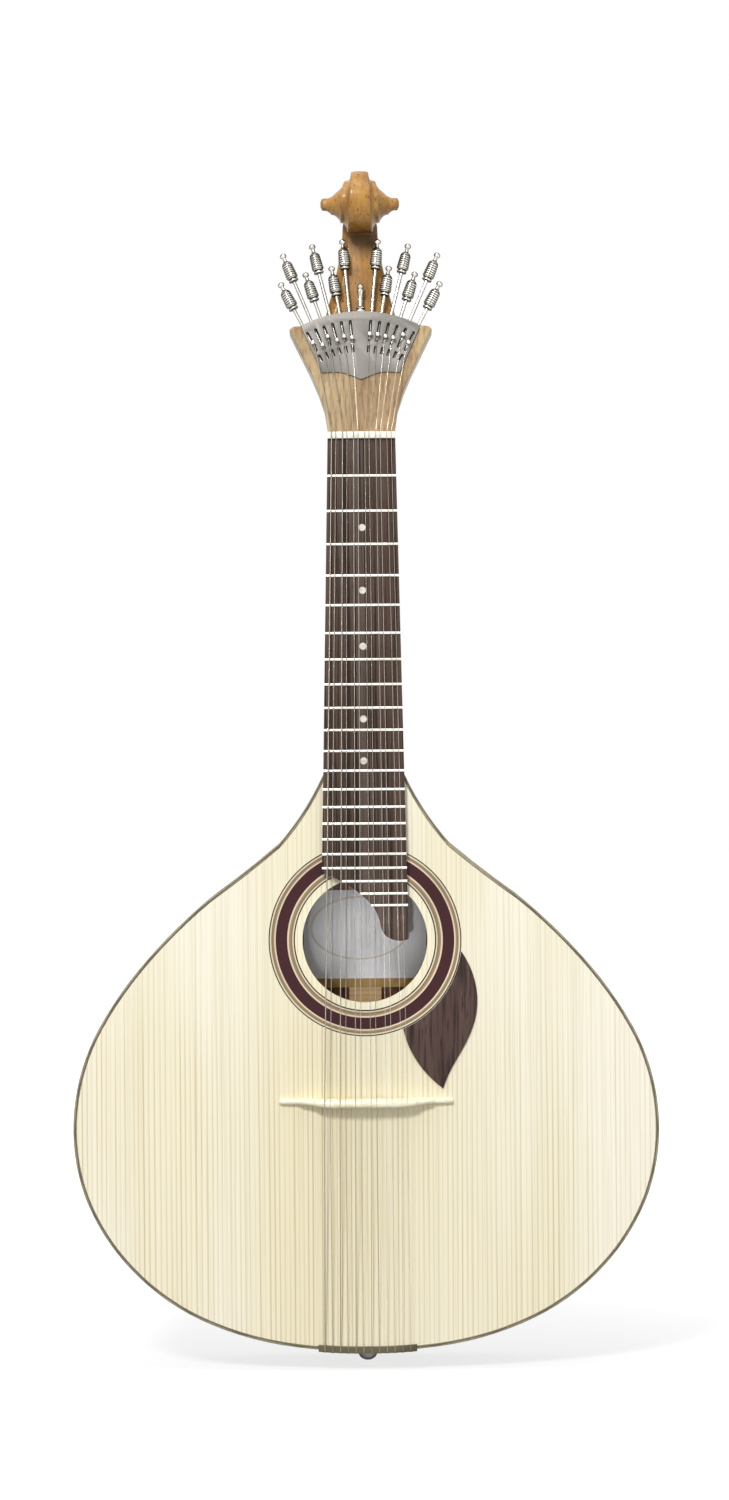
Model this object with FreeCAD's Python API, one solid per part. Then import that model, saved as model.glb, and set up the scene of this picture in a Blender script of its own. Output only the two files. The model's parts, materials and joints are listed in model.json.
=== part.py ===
"""Portuguese guitar of the Lisbon shape: a pear-shaped body, a short neck and a fan tuning machine.

The pieces are drawn with the nut's working edge at z = 0 and the soundboard's face at y = 0, with the
neck along +Z and the strings on the -Y side. place() then moves each piece so that the origin is the
place under the head's flare where a hanger's yoke carries the guitar. All sizes are in millimetres.
"""
import FreeCAD, Part

import math
import os
from FreeCAD import Placement, Rotation, Vector

# Scale and body
SCALE_LENGTH = 443.0
FRET_COUNT = 21
NUT_TO_BODY = 224.4
BODY_LENGTH = 385.0
LOWER_BOUT = 392.0
JOINT_WIDTH = 54.8
DEPTH_AT_NECK = 66.0
DEPTH_AT_TAIL = 78.0
BACK_RADIUS = 3000.0
TOP_THICKNESS = 2.6
BACK_THICKNESS = 2.6
SIDE_THICKNESS = 2.0
GLUE_LINE = 0.02
BINDING_WIDTH = 2.3
LINING_WIDTH = 6.0
LINING_DEPTH = 11.0
OUTLINE_ARCS = 10

# Outline of one half, as shares: across from the centre to the widest place, and up from the tail
BOUT_SHARES = (
    (0.361, 0.019),
    (0.637, 0.075),
    (0.842, 0.166),
    (0.967, 0.281),
    (0.9985, 0.385),
    (0.959, 0.506),
    (0.804, 0.644),
    (0.449, 0.818),
)
# The hollow of the shoulder, as shares from the neck joint's edge to the widest place
SHOULDER_SHARES = ((0.128, 0.906), (0.024, 0.966))

# Soundhole, rosette, pickguard and label
NUT_TO_SOUNDHOLE = 334.6
SOUNDHOLE_RADIUS = 41.75
ROSETTE_INNER = 46.8
ROSETTE_BAND_INNER = 51.9
ROSETTE_BAND_OUTER = 59.6
ROSETTE_OUTER = 64.4
ROSETTE_DEPTH = 1.0
PICKGUARD_THICKNESS = 1.0
PICKGUARD_TO_ROSETTE = 0.2
LABEL_WIDTH = 84.0
LABEL_HEIGHT = 67.0
LABEL_THICKNESS = 0.3
LABEL_BELOW_SOUNDHOLE = 2.6

# Leaf of the pickguard: distances to the right of and below the soundhole's centre
LEAF_RIGHT_EDGE = ((73.4, 28.7), (74.4, 47.0), (66.3, 70.4), (55.5, 89.5))
LEAF_TIP = (51.7, 99.5)
LEAF_LEFT_EDGE = ((37.6, 85.9), (28.0, 69.2))
LEAF_START_ANGLE = 7.0
LEAF_END_ANGLE = 67.0

# Blocks, braces and strips inside the body
BLOCK_HALF_WIDTH = 30.0
NECK_BLOCK_LENGTH = 34.0
TAIL_BLOCK_LENGTH = 24.0
BRACE_WIDTH = 8.0
TOP_BRACE_DEPTH = 14.0
BACK_BRACE_DEPTH = 12.0
TOP_BRACES_FROM_SOUNDHOLE = (68.0, -70.0, -160.0)
BACK_BRACES_FROM_SOUNDHOLE = (42.0, -50.0, -165.0)
CENTRE_STRIP_WIDTH = 22.0
CENTRE_STRIP_THICKNESS = 2.0

# Fingerboard, frets, dots and nut
BOARD_WIDTH_AT_NUT = 45.2
BOARD_WIDTH_AT_BODY = 54.1
BOARD_THICKNESS = 6.0
BOARD_CAMBER = 300.0
BOARD_SHORT_LENGTH = 289.2
BOARD_LONG_LENGTH = 334.3
# The scooped end of the board, as shares across from the centre and down from the short side
SCOOP_SHARES = ((-0.51, 0.14), (-0.01, 0.37), (0.31, 0.66), (0.46, 0.93), (0.64, 1.0))
SCOOP_END_SHARE = 0.99
FRET_WIDTH = 2.0
FRET_HEIGHT = 1.0
FRET_CREST_SHARE = 0.4
FRET_TANG_WIDTH = 0.6
FRET_TANG_DEPTH = 2.2
DOT_FRETS = (3, 5, 7, 10, 12)
DOT_DIAMETER = 4.7
DOT_THICKNESS = 1.5
NUT_THICKNESS = 4.5
NUT_OVER_BOARD = 2.1
STRING_OVER_BOARD_AT_NUT = 1.4

# Neck and heel
NECK_DEPTH_AT_NUT = 19.0
NECK_DEPTH_AT_BODY = 23.0
HEEL_REACH = 34.0
HEEL_FOOT_WIDTH = 22.0
HEEL_FOOT_REACH = 11.0
HEEL_CAP_THICKNESS = 2.6
# Sections of the heel from under the board to its foot: shares of its width, its reach and its depth
HEEL_SHARES = ((0.92, 1.0, 0.0), (0.74, 0.76, 0.18), (0.46, 0.4, 0.4), (0.2, 0.14, 0.68), (0.0, 0.0, 1.0))

# Head: half widths along its length from the nut, drawn in the plane of its face
HEAD_TILT = 10.0
HEAD_DEPTH = 20.0
HEAD_PROFILE = ((0.0, 22.3), (15.2, 24.4), (28.7, 28.4), (42.3, 34.1), (55.9, 40.7), (69.6, 47.3))
HEAD_CORNER_AT_NUT = 15.0
HEAD_CORNER = 5.0
HEAD_CORNER_REACH = 28.7
WING_TOP = 73.6
WING_TOP_HALF = 44.9
YOKE_FROM_NUT = 12.0

# Stem and scroll: sections of the stem as place, half width, front and back below the head's face
STEM_SECTIONS = (
    (70.0, 25.0, 8.3, 20.0),
    (84.0, 20.8, 8.3, 20.0),
    (106.0, 15.0, 8.4, 19.6),
    (128.0, 12.4, 8.4, 19.0),
    (141.0, 12.6, 6.0, 18.6),
)
CHEEK_TOP = (150.5, 26.0, -6.0, 4.0)
SCROLL_PLACE = 153.5
SCROLL_FORWARD = 2.4
SCROLL_RADIUS = 22.2
SCROLL_EYE_RADIUS = 4.3
SCROLL_EYE_HALF_WIDTH = 26.7
SCROLL_CREST_HALF_WIDTH = 6.2
SCROLL_HALF_TURNS = 6
SCROLL_BEVEL = 0.86

# Fan tuning machine, drawn from the point near the nut where its twelve rays meet
TUNER_COUNT = 12
FAN_BELOW_HEAD = 2.4
FAN_FIRST_ANGLE = 5.0
FAN_STEP_ANGLE = 4.35
PLATE_THICKNESS = 1.2
PLATE_RADIUS = 86.0
PLATE_TOP_HALF = 39.6
PLATE_BOTTOM_HALF = 26.2
PLATE_TOP_CORNER = 72.0
PLATE_BOTTOM_CORNER = 41.2
PLATE_POINT = 36.4
SLOT_WIDTH = 2.0
SLOT_START_FROM_RIM = 19.8
SLOT_END_FROM_RIM = 6.8
WINDOW_START_FROM_RIM = 28.4
WINDOW_END_FROM_RIM = 23.4
SLOT_START = PLATE_RADIUS - SLOT_START_FROM_RIM
SLOT_END = PLATE_RADIUS - SLOT_END_FROM_RIM
WINDOW_START = PLATE_RADIUS - WINDOW_START_FROM_RIM
WINDOW_END = PLATE_RADIUS - WINDOW_END_FROM_RIM
HOUSING_DEPTH = 7.4
HOUSING_SHEET = 0.8
FLANGE_THICKNESS = 2.2
LOWER_FLANGE_FROM_RIM = 30.6
LOWER_FLANGE_RADIUS = PLATE_RADIUS - LOWER_FLANGE_FROM_RIM
POCKET_GAP = 0.1
SCREW_RADIUS = 1.1
SCREW_DEPTH = 3.4
RUNNING_GAP = 0.05
SHOULDER_RADIUS = 1.8
SHOULDER_LENGTH = 1.0
SHOULDER_GAP = 0.2
LONG_KNOB_OVER_RIM = 27.8
SHORT_KNOB_OVER_RIM = 9.8
LONG_KNOB_PLACE = PLATE_RADIUS + LONG_KNOB_OVER_RIM
SHORT_KNOB_PLACE = PLATE_RADIUS + SHORT_KNOB_OVER_RIM
KNOB_RADIUS = 4.0
KNOB_LENGTH = 14.2
KNOB_GROOVE_DEPTH = 0.5
KNOB_COLLAR_LENGTH = 3.0
KNOB_TIP_LENGTH = 6.0
KNOB_TIP_RADIUS = 2.1
KNOB_NECK_RADIUS = 1.3
HOOKS_FROM_RIM = (14.7, 18.8, 14.6, 18.8, 17.3, 18.8, 16.3, 16.1, 16.3, 15.9, 11.6, 15.0)
HOOK_PLACES = tuple(PLATE_RADIUS - from_rim for from_rim in HOOKS_FROM_RIM)
RUNNER_WIDTH = 3.8
RUNNER_LENGTH = 5.0
RUNNER_DEPTH = 4.8
HOOK_POST_RADIUS = 0.75
HOOK_POST_HEIGHT = 3.9
HOOK_BEAD_RADIUS = 1.85
FINIAL_HEIGHT = 17.4
FINIAL_RADIUS = 2.0
FINIAL_FOOT_HEIGHT = 1.6
FINIAL_WAIST_HEIGHT = 3.0

# Bridge, strings and tail
BRIDGE_WIDTH = 116.0
BRIDGE_HEIGHT = 11.0
BRIDGE_FOOT_HEIGHT = 3.2
BRIDGE_STEP_WIDTH = 88.0
BRIDGE_CROWN_WIDTH = 66.0
BRIDGE_BASE_THICKNESS = 5.6
BRIDGE_TOP_THICKNESS = 2.8
BRIDGE_ARCH_WIDTH = 60.0
BRIDGE_ARCH_HEIGHT = 2.4
COURSE_COUNT = 6
COURSE_PITCH_AT_NUT = 7.37
PAIR_PITCH_AT_NUT = 2.9
COURSE_PITCH_AT_BRIDGE = 10.3
PAIR_PITCH_AT_BRIDGE = 3.7
STRING_PITCH_AT_TAIL = 5.2
STRING_RADII = (0.42, 0.24, 0.36, 0.2, 0.3, 0.17, 0.21, 0.21, 0.15, 0.15, 0.13, 0.13)
STRING_SIDES = 6
NOTCH_GAP = 0.05
STRING_END_GAP = 0.3
STRING_OVER_PLATE = 1.9
GUARD_WIDTH = 65.8
GUARD_THICKNESS = 1.3
GUARD_ON_TOP = 3.4
GUARD_ON_SIDE = 8.0
TAILPIECE_WIDTH = 63.4
TAILPIECE_THICKNESS = 1.4
TAILPIECE_FROM_TOP = 11.0
TAILPIECE_DEPTH = 21.0
TAIL_PIN_FROM_TOP = 19.0
TAIL_PIN_RADIUS = 1.0
TAIL_PIN_LENGTH = 2.2
TAIL_PIN_HEAD_RADIUS = 1.6
TAIL_PIN_HEAD = 0.8
TAIL_SCREW_SPACING = 44.0
TAIL_SCREW_FROM_TOP = 27.0
TAIL_SCREW_RADIUS = 1.4
TAIL_SCREW_HEAD_RADIUS = 2.6
TAIL_SCREW_HEAD = 1.0
TAIL_SCREW_LENGTH = 14.0
BUTTON_FROM_TOP = 43.0
BUTTON_RADIUS = 6.65
BUTTON_NECK_RADIUS = 4.0
BUTTON_FOOT_RADIUS = 5.6
BUTTON_LENGTH = 12.6
BUTTON_SCREW_RADIUS = 2.0
BUTTON_SCREW_LENGTH = 18.0

FAR = 400.0
BODY_TOP = -NUT_TO_BODY
BODY_BOTTOM = BODY_TOP - BODY_LENGTH
INNER_BACK = BACK_THICKNESS + GLUE_LINE
SOUNDHOLE = Vector(0, 0, -NUT_TO_SOUNDHOLE)
RIGHT = Vector(1, 0, 0)
BACKWARD = Vector(0, 1, 0)
UP = Vector(0, 0, 1)
HEAD = Placement(Vector(0, 0, NUT_THICKNESS), Rotation(RIGHT, -HEAD_TILT))
YOKE = HEAD.multVec(Vector(0, HEAD_DEPTH / 2, YOKE_FROM_NUT))


# General helpers


def place(name, shape):
    """Moves a finished piece so that the yoke's bearing is the origin, and writes its file."""
    shape = shape.copy()
    shape.translate(-YOKE)
    shape.exportStep(os.path.join("parts", name + ".step"))
    PIECES[name] = shape


def box(x0, x1, y0, y1, z0, z1):
    """A box between two corners."""
    return Part.makeBox(x1 - x0, y1 - y0, z1 - z0, Vector(x0, y0, z0))


def spline(points, start=None, end=None):
    """A smooth curve through points, with directions at its ends where they are given."""
    curve = Part.BSplineCurve()
    if start is None:
        curve.interpolate(Points=points)
    else:
        curve.interpolate(Points=points, InitialTangent=start, FinalTangent=end)
    return curve


def mirrored_points(points):
    """The same points on the other side of the centre plane, in reverse order."""
    return [Vector(-p.x, p.y, p.z) for p in reversed(points)]


def face_of(*curves):
    """A flat face bounded by curves given in order."""
    return Part.Face(Part.Wire([curve.toShape() for curve in curves]))


def polygon(points):
    """A flat face with straight edges."""
    return Part.Face(Part.makePolygon(list(points) + [points[0]]))


def polyhedron(rings):
    """A solid with flat sides between rings of corners."""
    faces = [polygon(rings[0]), polygon(rings[-1])]
    for near, far in zip(rings, rings[1:]):
        for side in range(len(near)):
            other = (side + 1) % len(near)
            faces.append(polygon([near[side], near[other], far[other], far[side]]))
    solid = Part.Solid(Part.Shell(faces))
    if solid.Volume < 0:
        solid.reverse()
    return solid


def turned(profile, axis_place, axis_direction):
    """A turned piece from (radius, place) points along an axis, starting and ending on the axis."""
    corners = [Vector(radius, 0, place_on_axis) for radius, place_on_axis in profile]
    solid = polygon(corners).revolve(Vector(), UP, 360)
    solid.Placement = Placement(axis_place, Rotation(UP, axis_direction)).multiply(solid.Placement)
    return solid


def joined(shapes):
    """One solid from overlapping or touching solids."""
    shapes = list(shapes)
    return shapes[0].fuse(shapes[1:]).removeSplitter()


def many(shapes):
    """Separate solids kept together in one piece."""
    return Part.makeCompound(list(shapes))


def solids_of(shape):
    """The single solid of a shape, or a compound of its solids."""
    if len(shape.Solids) == 1:
        return shape.Solids[0]
    return many(shape.Solids)


# Body outline and the domed back


def half_curve():
    """The smooth curve of the right half, from the tail's centre up to the neck joint."""
    bout = LOWER_BOUT / 2
    joint = JOINT_WIDTH / 2
    points = [Vector(0, 0, BODY_BOTTOM)]
    for across, up in BOUT_SHARES:
        points.append(Vector(across * bout, 0, BODY_BOTTOM + up * BODY_LENGTH))
    for across, up in SHOULDER_SHARES:
        points.append(Vector(joint + across * (bout - joint), 0, BODY_BOTTOM + up * BODY_LENGTH))
    points.append(Vector(joint, 0, BODY_TOP))
    return spline(points, RIGHT, UP)


def half_points(inset):
    """Points along the right half, moved inwards by a distance, two for each arc of the outline."""
    curve = half_curve()
    steps = 2 * OUTLINE_ARCS
    points = []
    for step in range(steps + 1):
        parameter = curve.parameterAtDistance(curve.length() * step / steps)
        tangent = Vector(*curve.tangent(parameter)[0])
        points.append(curve.value(parameter) + Vector(-tangent.z, 0, tangent.x) * inset)
    points[0].x = 0
    points[-1].z = BODY_TOP
    return points


def half_arcs(inset):
    """The right half as a chain of arcs."""
    points = half_points(inset)
    ends = range(0, len(points) - 2, 2)
    return [Part.Arc(points[i], points[i + 1], points[i + 2]).toShape() for i in ends]


def body_prism(inset, front, back):
    """The body's outline moved inwards, from one depth to another."""
    arcs = half_arcs(inset)
    corner = half_points(inset)[-1]
    top = Part.LineSegment(corner, Vector(-corner.x, 0, corner.z)).toShape()
    left = [arc.mirror(Vector(), RIGHT) for arc in reversed(arcs)]
    face = Part.Face(Part.Wire(arcs + [top] + left))
    face.translate(Vector(0, front, 0))
    return face.extrude(Vector(0, back - front, 0))


def right_strip(outside, inside, front, back):
    """The right half of the band between two insets of the outline."""
    outer, inner = half_points(outside), half_points(inside)
    top = Part.LineSegment(outer[-1], inner[-1]).toShape()
    tail = Part.LineSegment(inner[0], outer[0]).toShape()
    edges = half_arcs(outside) + [top] + list(reversed(half_arcs(inside))) + [tail]
    face = Part.Face(Part.Wire(edges))
    face.translate(Vector(0, front, 0))
    return face.extrude(Vector(0, back - front, 0))


def mirrored(shape):
    """The same shape on the other side of the centre plane."""
    return shape.mirror(Vector(), RIGHT)


def tail_place(across):
    """Height of the tail's edge at a distance from the centre."""
    start, middle, end = half_points(0)[:3]
    circle = Part.Arc(start, middle, end).toShape().Curve
    return circle.Center.z - math.sqrt(circle.Radius ** 2 - (abs(across) - circle.Center.x) ** 2)


def back_ball(depth_inside):
    """The ball whose surface is the back's outer face, or lies a distance inside it."""
    tail = Vector(0, DEPTH_AT_TAIL, BODY_BOTTOM)
    neck = Vector(0, DEPTH_AT_NECK, BODY_TOP)
    chord = neck - tail
    reach = math.sqrt(BACK_RADIUS ** 2 - (chord.Length / 2) ** 2)
    forward = Vector(0, -chord.z, chord.y).normalize()
    centre = (tail + neck) / 2 + forward * reach
    return Part.makeSphere(BACK_RADIUS - depth_inside, centre)


def within_back(shape, depth_inside):
    """The part of a shape in front of the back's surface."""
    return solids_of(shape.common(back_ball(depth_inside)))


def back_layer(shape, outside, inside):
    """The layer of a shape between two depths inside the back's outer face."""
    return solids_of(within_back(shape, outside).cut(back_ball(inside)))


def make_body():
    """Soundboard, back, sides, bindings and linings."""
    depth = DEPTH_AT_TAIL + BINDING_WIDTH
    soundboard = body_prism(BINDING_WIDTH, 0, TOP_THICKNESS)
    hole = Part.makeCylinder(SOUNDHOLE_RADIUS, TOP_THICKNESS, SOUNDHOLE, BACKWARD)
    soundboard = soundboard.cut([hole, ring(ROSETTE_INNER, ROSETTE_OUTER)])
    place("soundboard", solids_of(soundboard))
    binding = right_strip(0, BINDING_WIDTH, 0, TOP_THICKNESS)
    place("top_binding", many([binding, mirrored(binding)]))

    place("back_plate", back_layer(body_prism(BINDING_WIDTH, 0, depth), 0, BACK_THICKNESS))
    edge = back_layer(right_strip(0, BINDING_WIDTH, 0, depth), 0, BACK_THICKNESS)
    place("back_binding", many([edge, mirrored(edge)]))

    wall = right_strip(0, SIDE_THICKNESS, TOP_THICKNESS, depth)
    joint = JOINT_WIDTH / 2 - SIDE_THICKNESS / 2
    end = box(0, joint, TOP_THICKNESS, depth, BODY_TOP - SIDE_THICKNESS, BODY_TOP)
    side = within_back(joined([wall, end]), BACK_THICKNESS).cut([tail_screw(1), button_screw()])
    side = solids_of(side)
    place("right_side", side)
    place("left_side", mirrored(side))

    lining_inset = SIDE_THICKNESS + LINING_WIDTH
    blocks = [
        box(-FAR, FAR, 0, depth, BODY_TOP - NECK_BLOCK_LENGTH, 0),
        box(-BLOCK_HALF_WIDTH, BLOCK_HALF_WIDTH, 0, depth, -2 * FAR, BODY_BOTTOM + TAIL_BLOCK_LENGTH),
    ]
    front_lining = right_strip(SIDE_THICKNESS, lining_inset, TOP_THICKNESS, TOP_THICKNESS + LINING_DEPTH)
    front_lining = solids_of(front_lining.cut(blocks))
    back_lining = right_strip(SIDE_THICKNESS, lining_inset, 0, depth).cut(blocks)
    back_lining = back_layer(back_lining, INNER_BACK, INNER_BACK + LINING_DEPTH)
    linings = [front_lining, back_lining]
    place("linings", many(linings + [mirrored(lining) for lining in linings]))


def make_blocks_and_braces():
    """Neck and tail blocks, the braces of both plates, the seam's strip and the label."""
    depth = DEPTH_AT_TAIL
    room = within_back(body_prism(SIDE_THICKNESS, TOP_THICKNESS, depth), INNER_BACK)
    top_end = BODY_TOP - SIDE_THICKNESS
    neck_space = box(-FAR, FAR, 0, depth, BODY_TOP - NECK_BLOCK_LENGTH, top_end)
    tail_space = box(
        -BLOCK_HALF_WIDTH, BLOCK_HALF_WIDTH, 0, depth, -2 * FAR, BODY_BOTTOM + TAIL_BLOCK_LENGTH
    )
    place("neck_block", solids_of(room.common(neck_space)))
    tail_block = room.common(tail_space).cut([tail_screw(side) for side in (-1, 1)])
    place("tail_block", solids_of(tail_block.cut(button_screw())))

    clear = body_prism(SIDE_THICKNESS + LINING_WIDTH, TOP_THICKNESS, depth)
    top_bars = []
    for place_up in TOP_BRACES_FROM_SOUNDHOLE:
        middle = SOUNDHOLE.z + place_up
        low, high = middle - BRACE_WIDTH / 2, middle + BRACE_WIDTH / 2
        bar = box(-FAR, FAR, TOP_THICKNESS, TOP_THICKNESS + TOP_BRACE_DEPTH, low, high)
        top_bars.append(solids_of(clear.common(bar)))
    place("top_braces", many(top_bars))

    back_bars = []
    strip_end = BODY_TOP - NECK_BLOCK_LENGTH
    strip_pieces = []
    for place_up in BACK_BRACES_FROM_SOUNDHOLE:
        middle = SOUNDHOLE.z + place_up
        low, high = middle - BRACE_WIDTH / 2, middle + BRACE_WIDTH / 2
        bar = clear.common(box(-FAR, FAR, 0, depth, low, high))
        back_bars.append(back_layer(bar, INNER_BACK, INNER_BACK + BACK_BRACE_DEPTH))
        strip_pieces.append(centre_strip(high, strip_end))
        strip_end = low
    strip_pieces.append(centre_strip(BODY_BOTTOM + TAIL_BLOCK_LENGTH, strip_end))

    place("back_braces", many(back_bars + strip_pieces))

    label_middle = SOUNDHOLE.z - LABEL_BELOW_SOUNDHOLE
    label_box = box(
        -LABEL_WIDTH / 2,
        LABEL_WIDTH / 2,
        0,
        depth,
        label_middle - LABEL_HEIGHT / 2,
        label_middle + LABEL_HEIGHT / 2,
    )
    label_depth = INNER_BACK + CENTRE_STRIP_THICKNESS + GLUE_LINE
    place("paper_label", back_layer(label_box, label_depth, label_depth + LABEL_THICKNESS))


def centre_strip(low, high):
    """A stretch of the strip that covers the back's seam."""
    blank = box(-CENTRE_STRIP_WIDTH / 2, CENTRE_STRIP_WIDTH / 2, 0, DEPTH_AT_TAIL, low, high)
    return back_layer(blank, INNER_BACK, INNER_BACK + CENTRE_STRIP_THICKNESS)


# Rosette and pickguard


def ring(inner, outer):
    """A ring round the soundhole, let into the soundboard."""
    disc = Part.makeCylinder(outer, ROSETTE_DEPTH, SOUNDHOLE, BACKWARD)
    return disc.cut(Part.makeCylinder(inner, ROSETTE_DEPTH, SOUNDHOLE, BACKWARD))


def make_rosette():
    """The dark band and the two groups of lines beside it."""
    place("rosette_band", ring(ROSETTE_BAND_INNER, ROSETTE_BAND_OUTER))
    lines = [ring(ROSETTE_INNER, ROSETTE_BAND_INNER), ring(ROSETTE_BAND_OUTER, ROSETTE_OUTER)]
    place("rosette_lines", many(lines))


def leaf_point(across, down):
    """A point of the pickguard from the soundhole's centre."""
    return SOUNDHOLE + Vector(across, 0, -down)


def make_pickguard():
    """The leaf that lies on the soundboard along the rosette."""
    radius = ROSETTE_OUTER + PICKGUARD_TO_ROSETTE

    def on_circle(angle):
        turn = math.radians(angle)
        return leaf_point(radius * math.cos(turn), radius * math.sin(turn))

    start, end = on_circle(LEAF_START_ANGLE), on_circle(LEAF_END_ANGLE)
    middle = on_circle((LEAF_START_ANGLE + LEAF_END_ANGLE) / 2)
    tip = leaf_point(*LEAF_TIP)
    right = spline([start] + [leaf_point(*pair) for pair in LEAF_RIGHT_EDGE] + [tip])
    left = spline([tip] + [leaf_point(*pair) for pair in LEAF_LEFT_EDGE] + [end])
    leaf = face_of(right, left, Part.Arc(end, middle, start))
    place("pickguard", leaf.extrude(-BACKWARD * PICKGUARD_THICKNESS))


# Fingerboard, frets and nut


def board_half(down):
    """Half the board's width at a distance below the nut."""
    taper = (BOARD_WIDTH_AT_BODY - BOARD_WIDTH_AT_NUT) / NUT_TO_BODY
    return (BOARD_WIDTH_AT_NUT + taper * down) / 2


def camber(height):
    """A cylinder whose front is the board's cambered surface raised by a height."""
    centre = Vector(0, BOARD_CAMBER - BOARD_THICKNESS, -FAR)
    return Part.makeCylinder(BOARD_CAMBER + height, 2 * FAR, centre)


def camber_depth(across, height):
    """Depth of the cambered surface raised by a height, at a distance from the centre."""
    radius = BOARD_CAMBER + height
    return BOARD_CAMBER - BOARD_THICKNESS - math.sqrt(radius ** 2 - across ** 2)


def board_blank(front):
    """The board's outline with its scooped end, from the neck's face to a height."""
    nut_half = board_half(0)
    left_half, right_half = board_half(BOARD_SHORT_LENGTH), board_half(BOARD_LONG_LENGTH)
    drop = BOARD_LONG_LENGTH - BOARD_SHORT_LENGTH
    corner_left = Vector(-left_half, 0, -BOARD_SHORT_LENGTH)
    corner_right = Vector(right_half, 0, -BOARD_SHORT_LENGTH - SCOOP_END_SHARE * drop)
    scoop = [corner_left]
    for across, down in SCOOP_SHARES:
        scoop.append(Vector(across * right_half, 0, -BOARD_SHORT_LENGTH - down * drop))
    scoop.append(corner_right)
    face = face_of(
        Part.LineSegment(Vector(nut_half, 0, 0), Vector(-nut_half, 0, 0)),
        Part.LineSegment(Vector(-nut_half, 0, 0), corner_left),
        spline(scoop),
        Part.LineSegment(corner_right, Vector(nut_half, 0, 0)),
    )
    return face.extrude(Vector(0, -front, 0))


def fret_distance(number):
    """Distance of a fret below the nut, by equal temperament."""
    return SCALE_LENGTH * (1 - 2 ** (-number / 12))


def fret_slot(number):
    """The saw cut that holds a fret's tang."""
    middle = -fret_distance(number)
    floor = FRET_TANG_DEPTH - BOARD_THICKNESS
    half = FRET_TANG_WIDTH / 2
    return box(-FAR, FAR, -FAR, floor, middle - half, middle + half)


def fret_crown(number):
    """The bead of a fret with its bevelled shoulders, bent to the board's camber."""
    middle = -fret_distance(number)
    half = FRET_WIDTH / 2
    axis = Vector(0, BOARD_CAMBER - BOARD_THICKNESS, 0)
    foot, crest = -BOARD_THICKNESS, -BOARD_THICKNESS - FRET_HEIGHT
    section = polygon(
        [
            Vector(0, foot, middle - half),
            Vector(0, crest, middle - half * FRET_CREST_SHARE),
            Vector(0, crest, middle + half * FRET_CREST_SHARE),
            Vector(0, foot, middle + half),
        ]
    )
    reach = math.degrees(math.asin(BOARD_WIDTH_AT_BODY / BOARD_CAMBER))
    section.rotate(axis, UP, -reach)
    return section.revolve(axis, UP, 2 * reach)


def dot(number):
    """A round inlay halfway between a fret and the one above it."""
    middle = -(fret_distance(number) + fret_distance(number - 1)) / 2
    floor = Vector(0, DOT_THICKNESS - BOARD_THICKNESS, middle)
    return Part.makeCylinder(DOT_DIAMETER / 2, BOARD_THICKNESS, floor, -BACKWARD)


def make_fingerboard():
    """The board with its slots, frets and dots."""
    numbers = range(1, FRET_COUNT + 1)
    slots = [fret_slot(number) for number in numbers]
    dots = [dot(number) for number in DOT_FRETS]
    board = board_blank(BOARD_THICKNESS).common(camber(0))
    place("fingerboard", solids_of(board.cut(slots + dots)))
    place("position_dots", many(solids_of(piece.common(camber(0))) for piece in dots))
    tall_blank = board_blank(2 * BOARD_THICKNESS)
    tang_top = camber(FRET_HEIGHT / 2)
    frets = []
    for slot, number in zip(slots, numbers):
        tang = slot.common(tang_top)
        wire = fret_crown(number).fuse(tang).common(tall_blank)
        frets.append(solids_of(wire.removeSplitter()))
    place("frets", many(frets))


def make_nut():
    """The nut with a notch for each string."""
    half = board_half(0)
    blank = box(-half, half, -FAR, 0, 0, NUT_THICKNESS)
    blank = blank.common(camber(NUT_OVER_BOARD))
    notches = []
    for index in range(TUNER_COUNT):
        seat = string_at_nut(index)
        radius = STRING_RADII[index] + NOTCH_GAP
        floor = seat.y + radius
        notches.append(box(seat.x - radius, seat.x + radius, -FAR, floor, 0, NUT_THICKNESS))
    place("nut", solids_of(blank.cut(notches)))


# Neck


def neck_circle(down, depth):
    """Radius of the neck's round back at a distance below the nut, and the depth of its centre."""
    radius = (board_half(down) ** 2 + depth ** 2) / (2 * depth)
    return radius, depth - radius


def make_shaft():
    """The neck without its heel: a cone cut flat under the board and to the head's foot."""
    nut_radius, nut_centre = neck_circle(0, NECK_DEPTH_AT_NUT)
    body_radius, body_centre = neck_circle(NUT_TO_BODY, NECK_DEPTH_AT_BODY)
    start = Vector(0, body_centre, BODY_TOP)
    share = (NUT_TO_BODY + 2 * NUT_THICKNESS) / NUT_TO_BODY
    axis = (Vector(0, nut_centre, 0) - start) * share
    end_radius = body_radius + (nut_radius - body_radius) * share
    cone = Part.makeCone(body_radius, end_radius, axis.Length, start, axis)
    back_half = box(-FAR, FAR, 0, FAR, BODY_TOP, FAR)
    above_head = box(-FAR, FAR, -FAR, FAR, 0, FAR)
    above_head.Placement = HEAD
    return cone.common(back_half).cut(above_head)


def heel_section(depth, half_width, reach):
    """A section of the heel across the guitar: flat against the body and round in front."""
    ends = [Vector(x, depth, BODY_TOP) for x in (half_width, -half_width)]
    nose = Part.Arc(ends[0], Vector(0, depth, BODY_TOP + reach), ends[1])
    return Part.Wire([nose.toShape(), Part.LineSegment(ends[1], ends[0]).toShape()])


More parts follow.
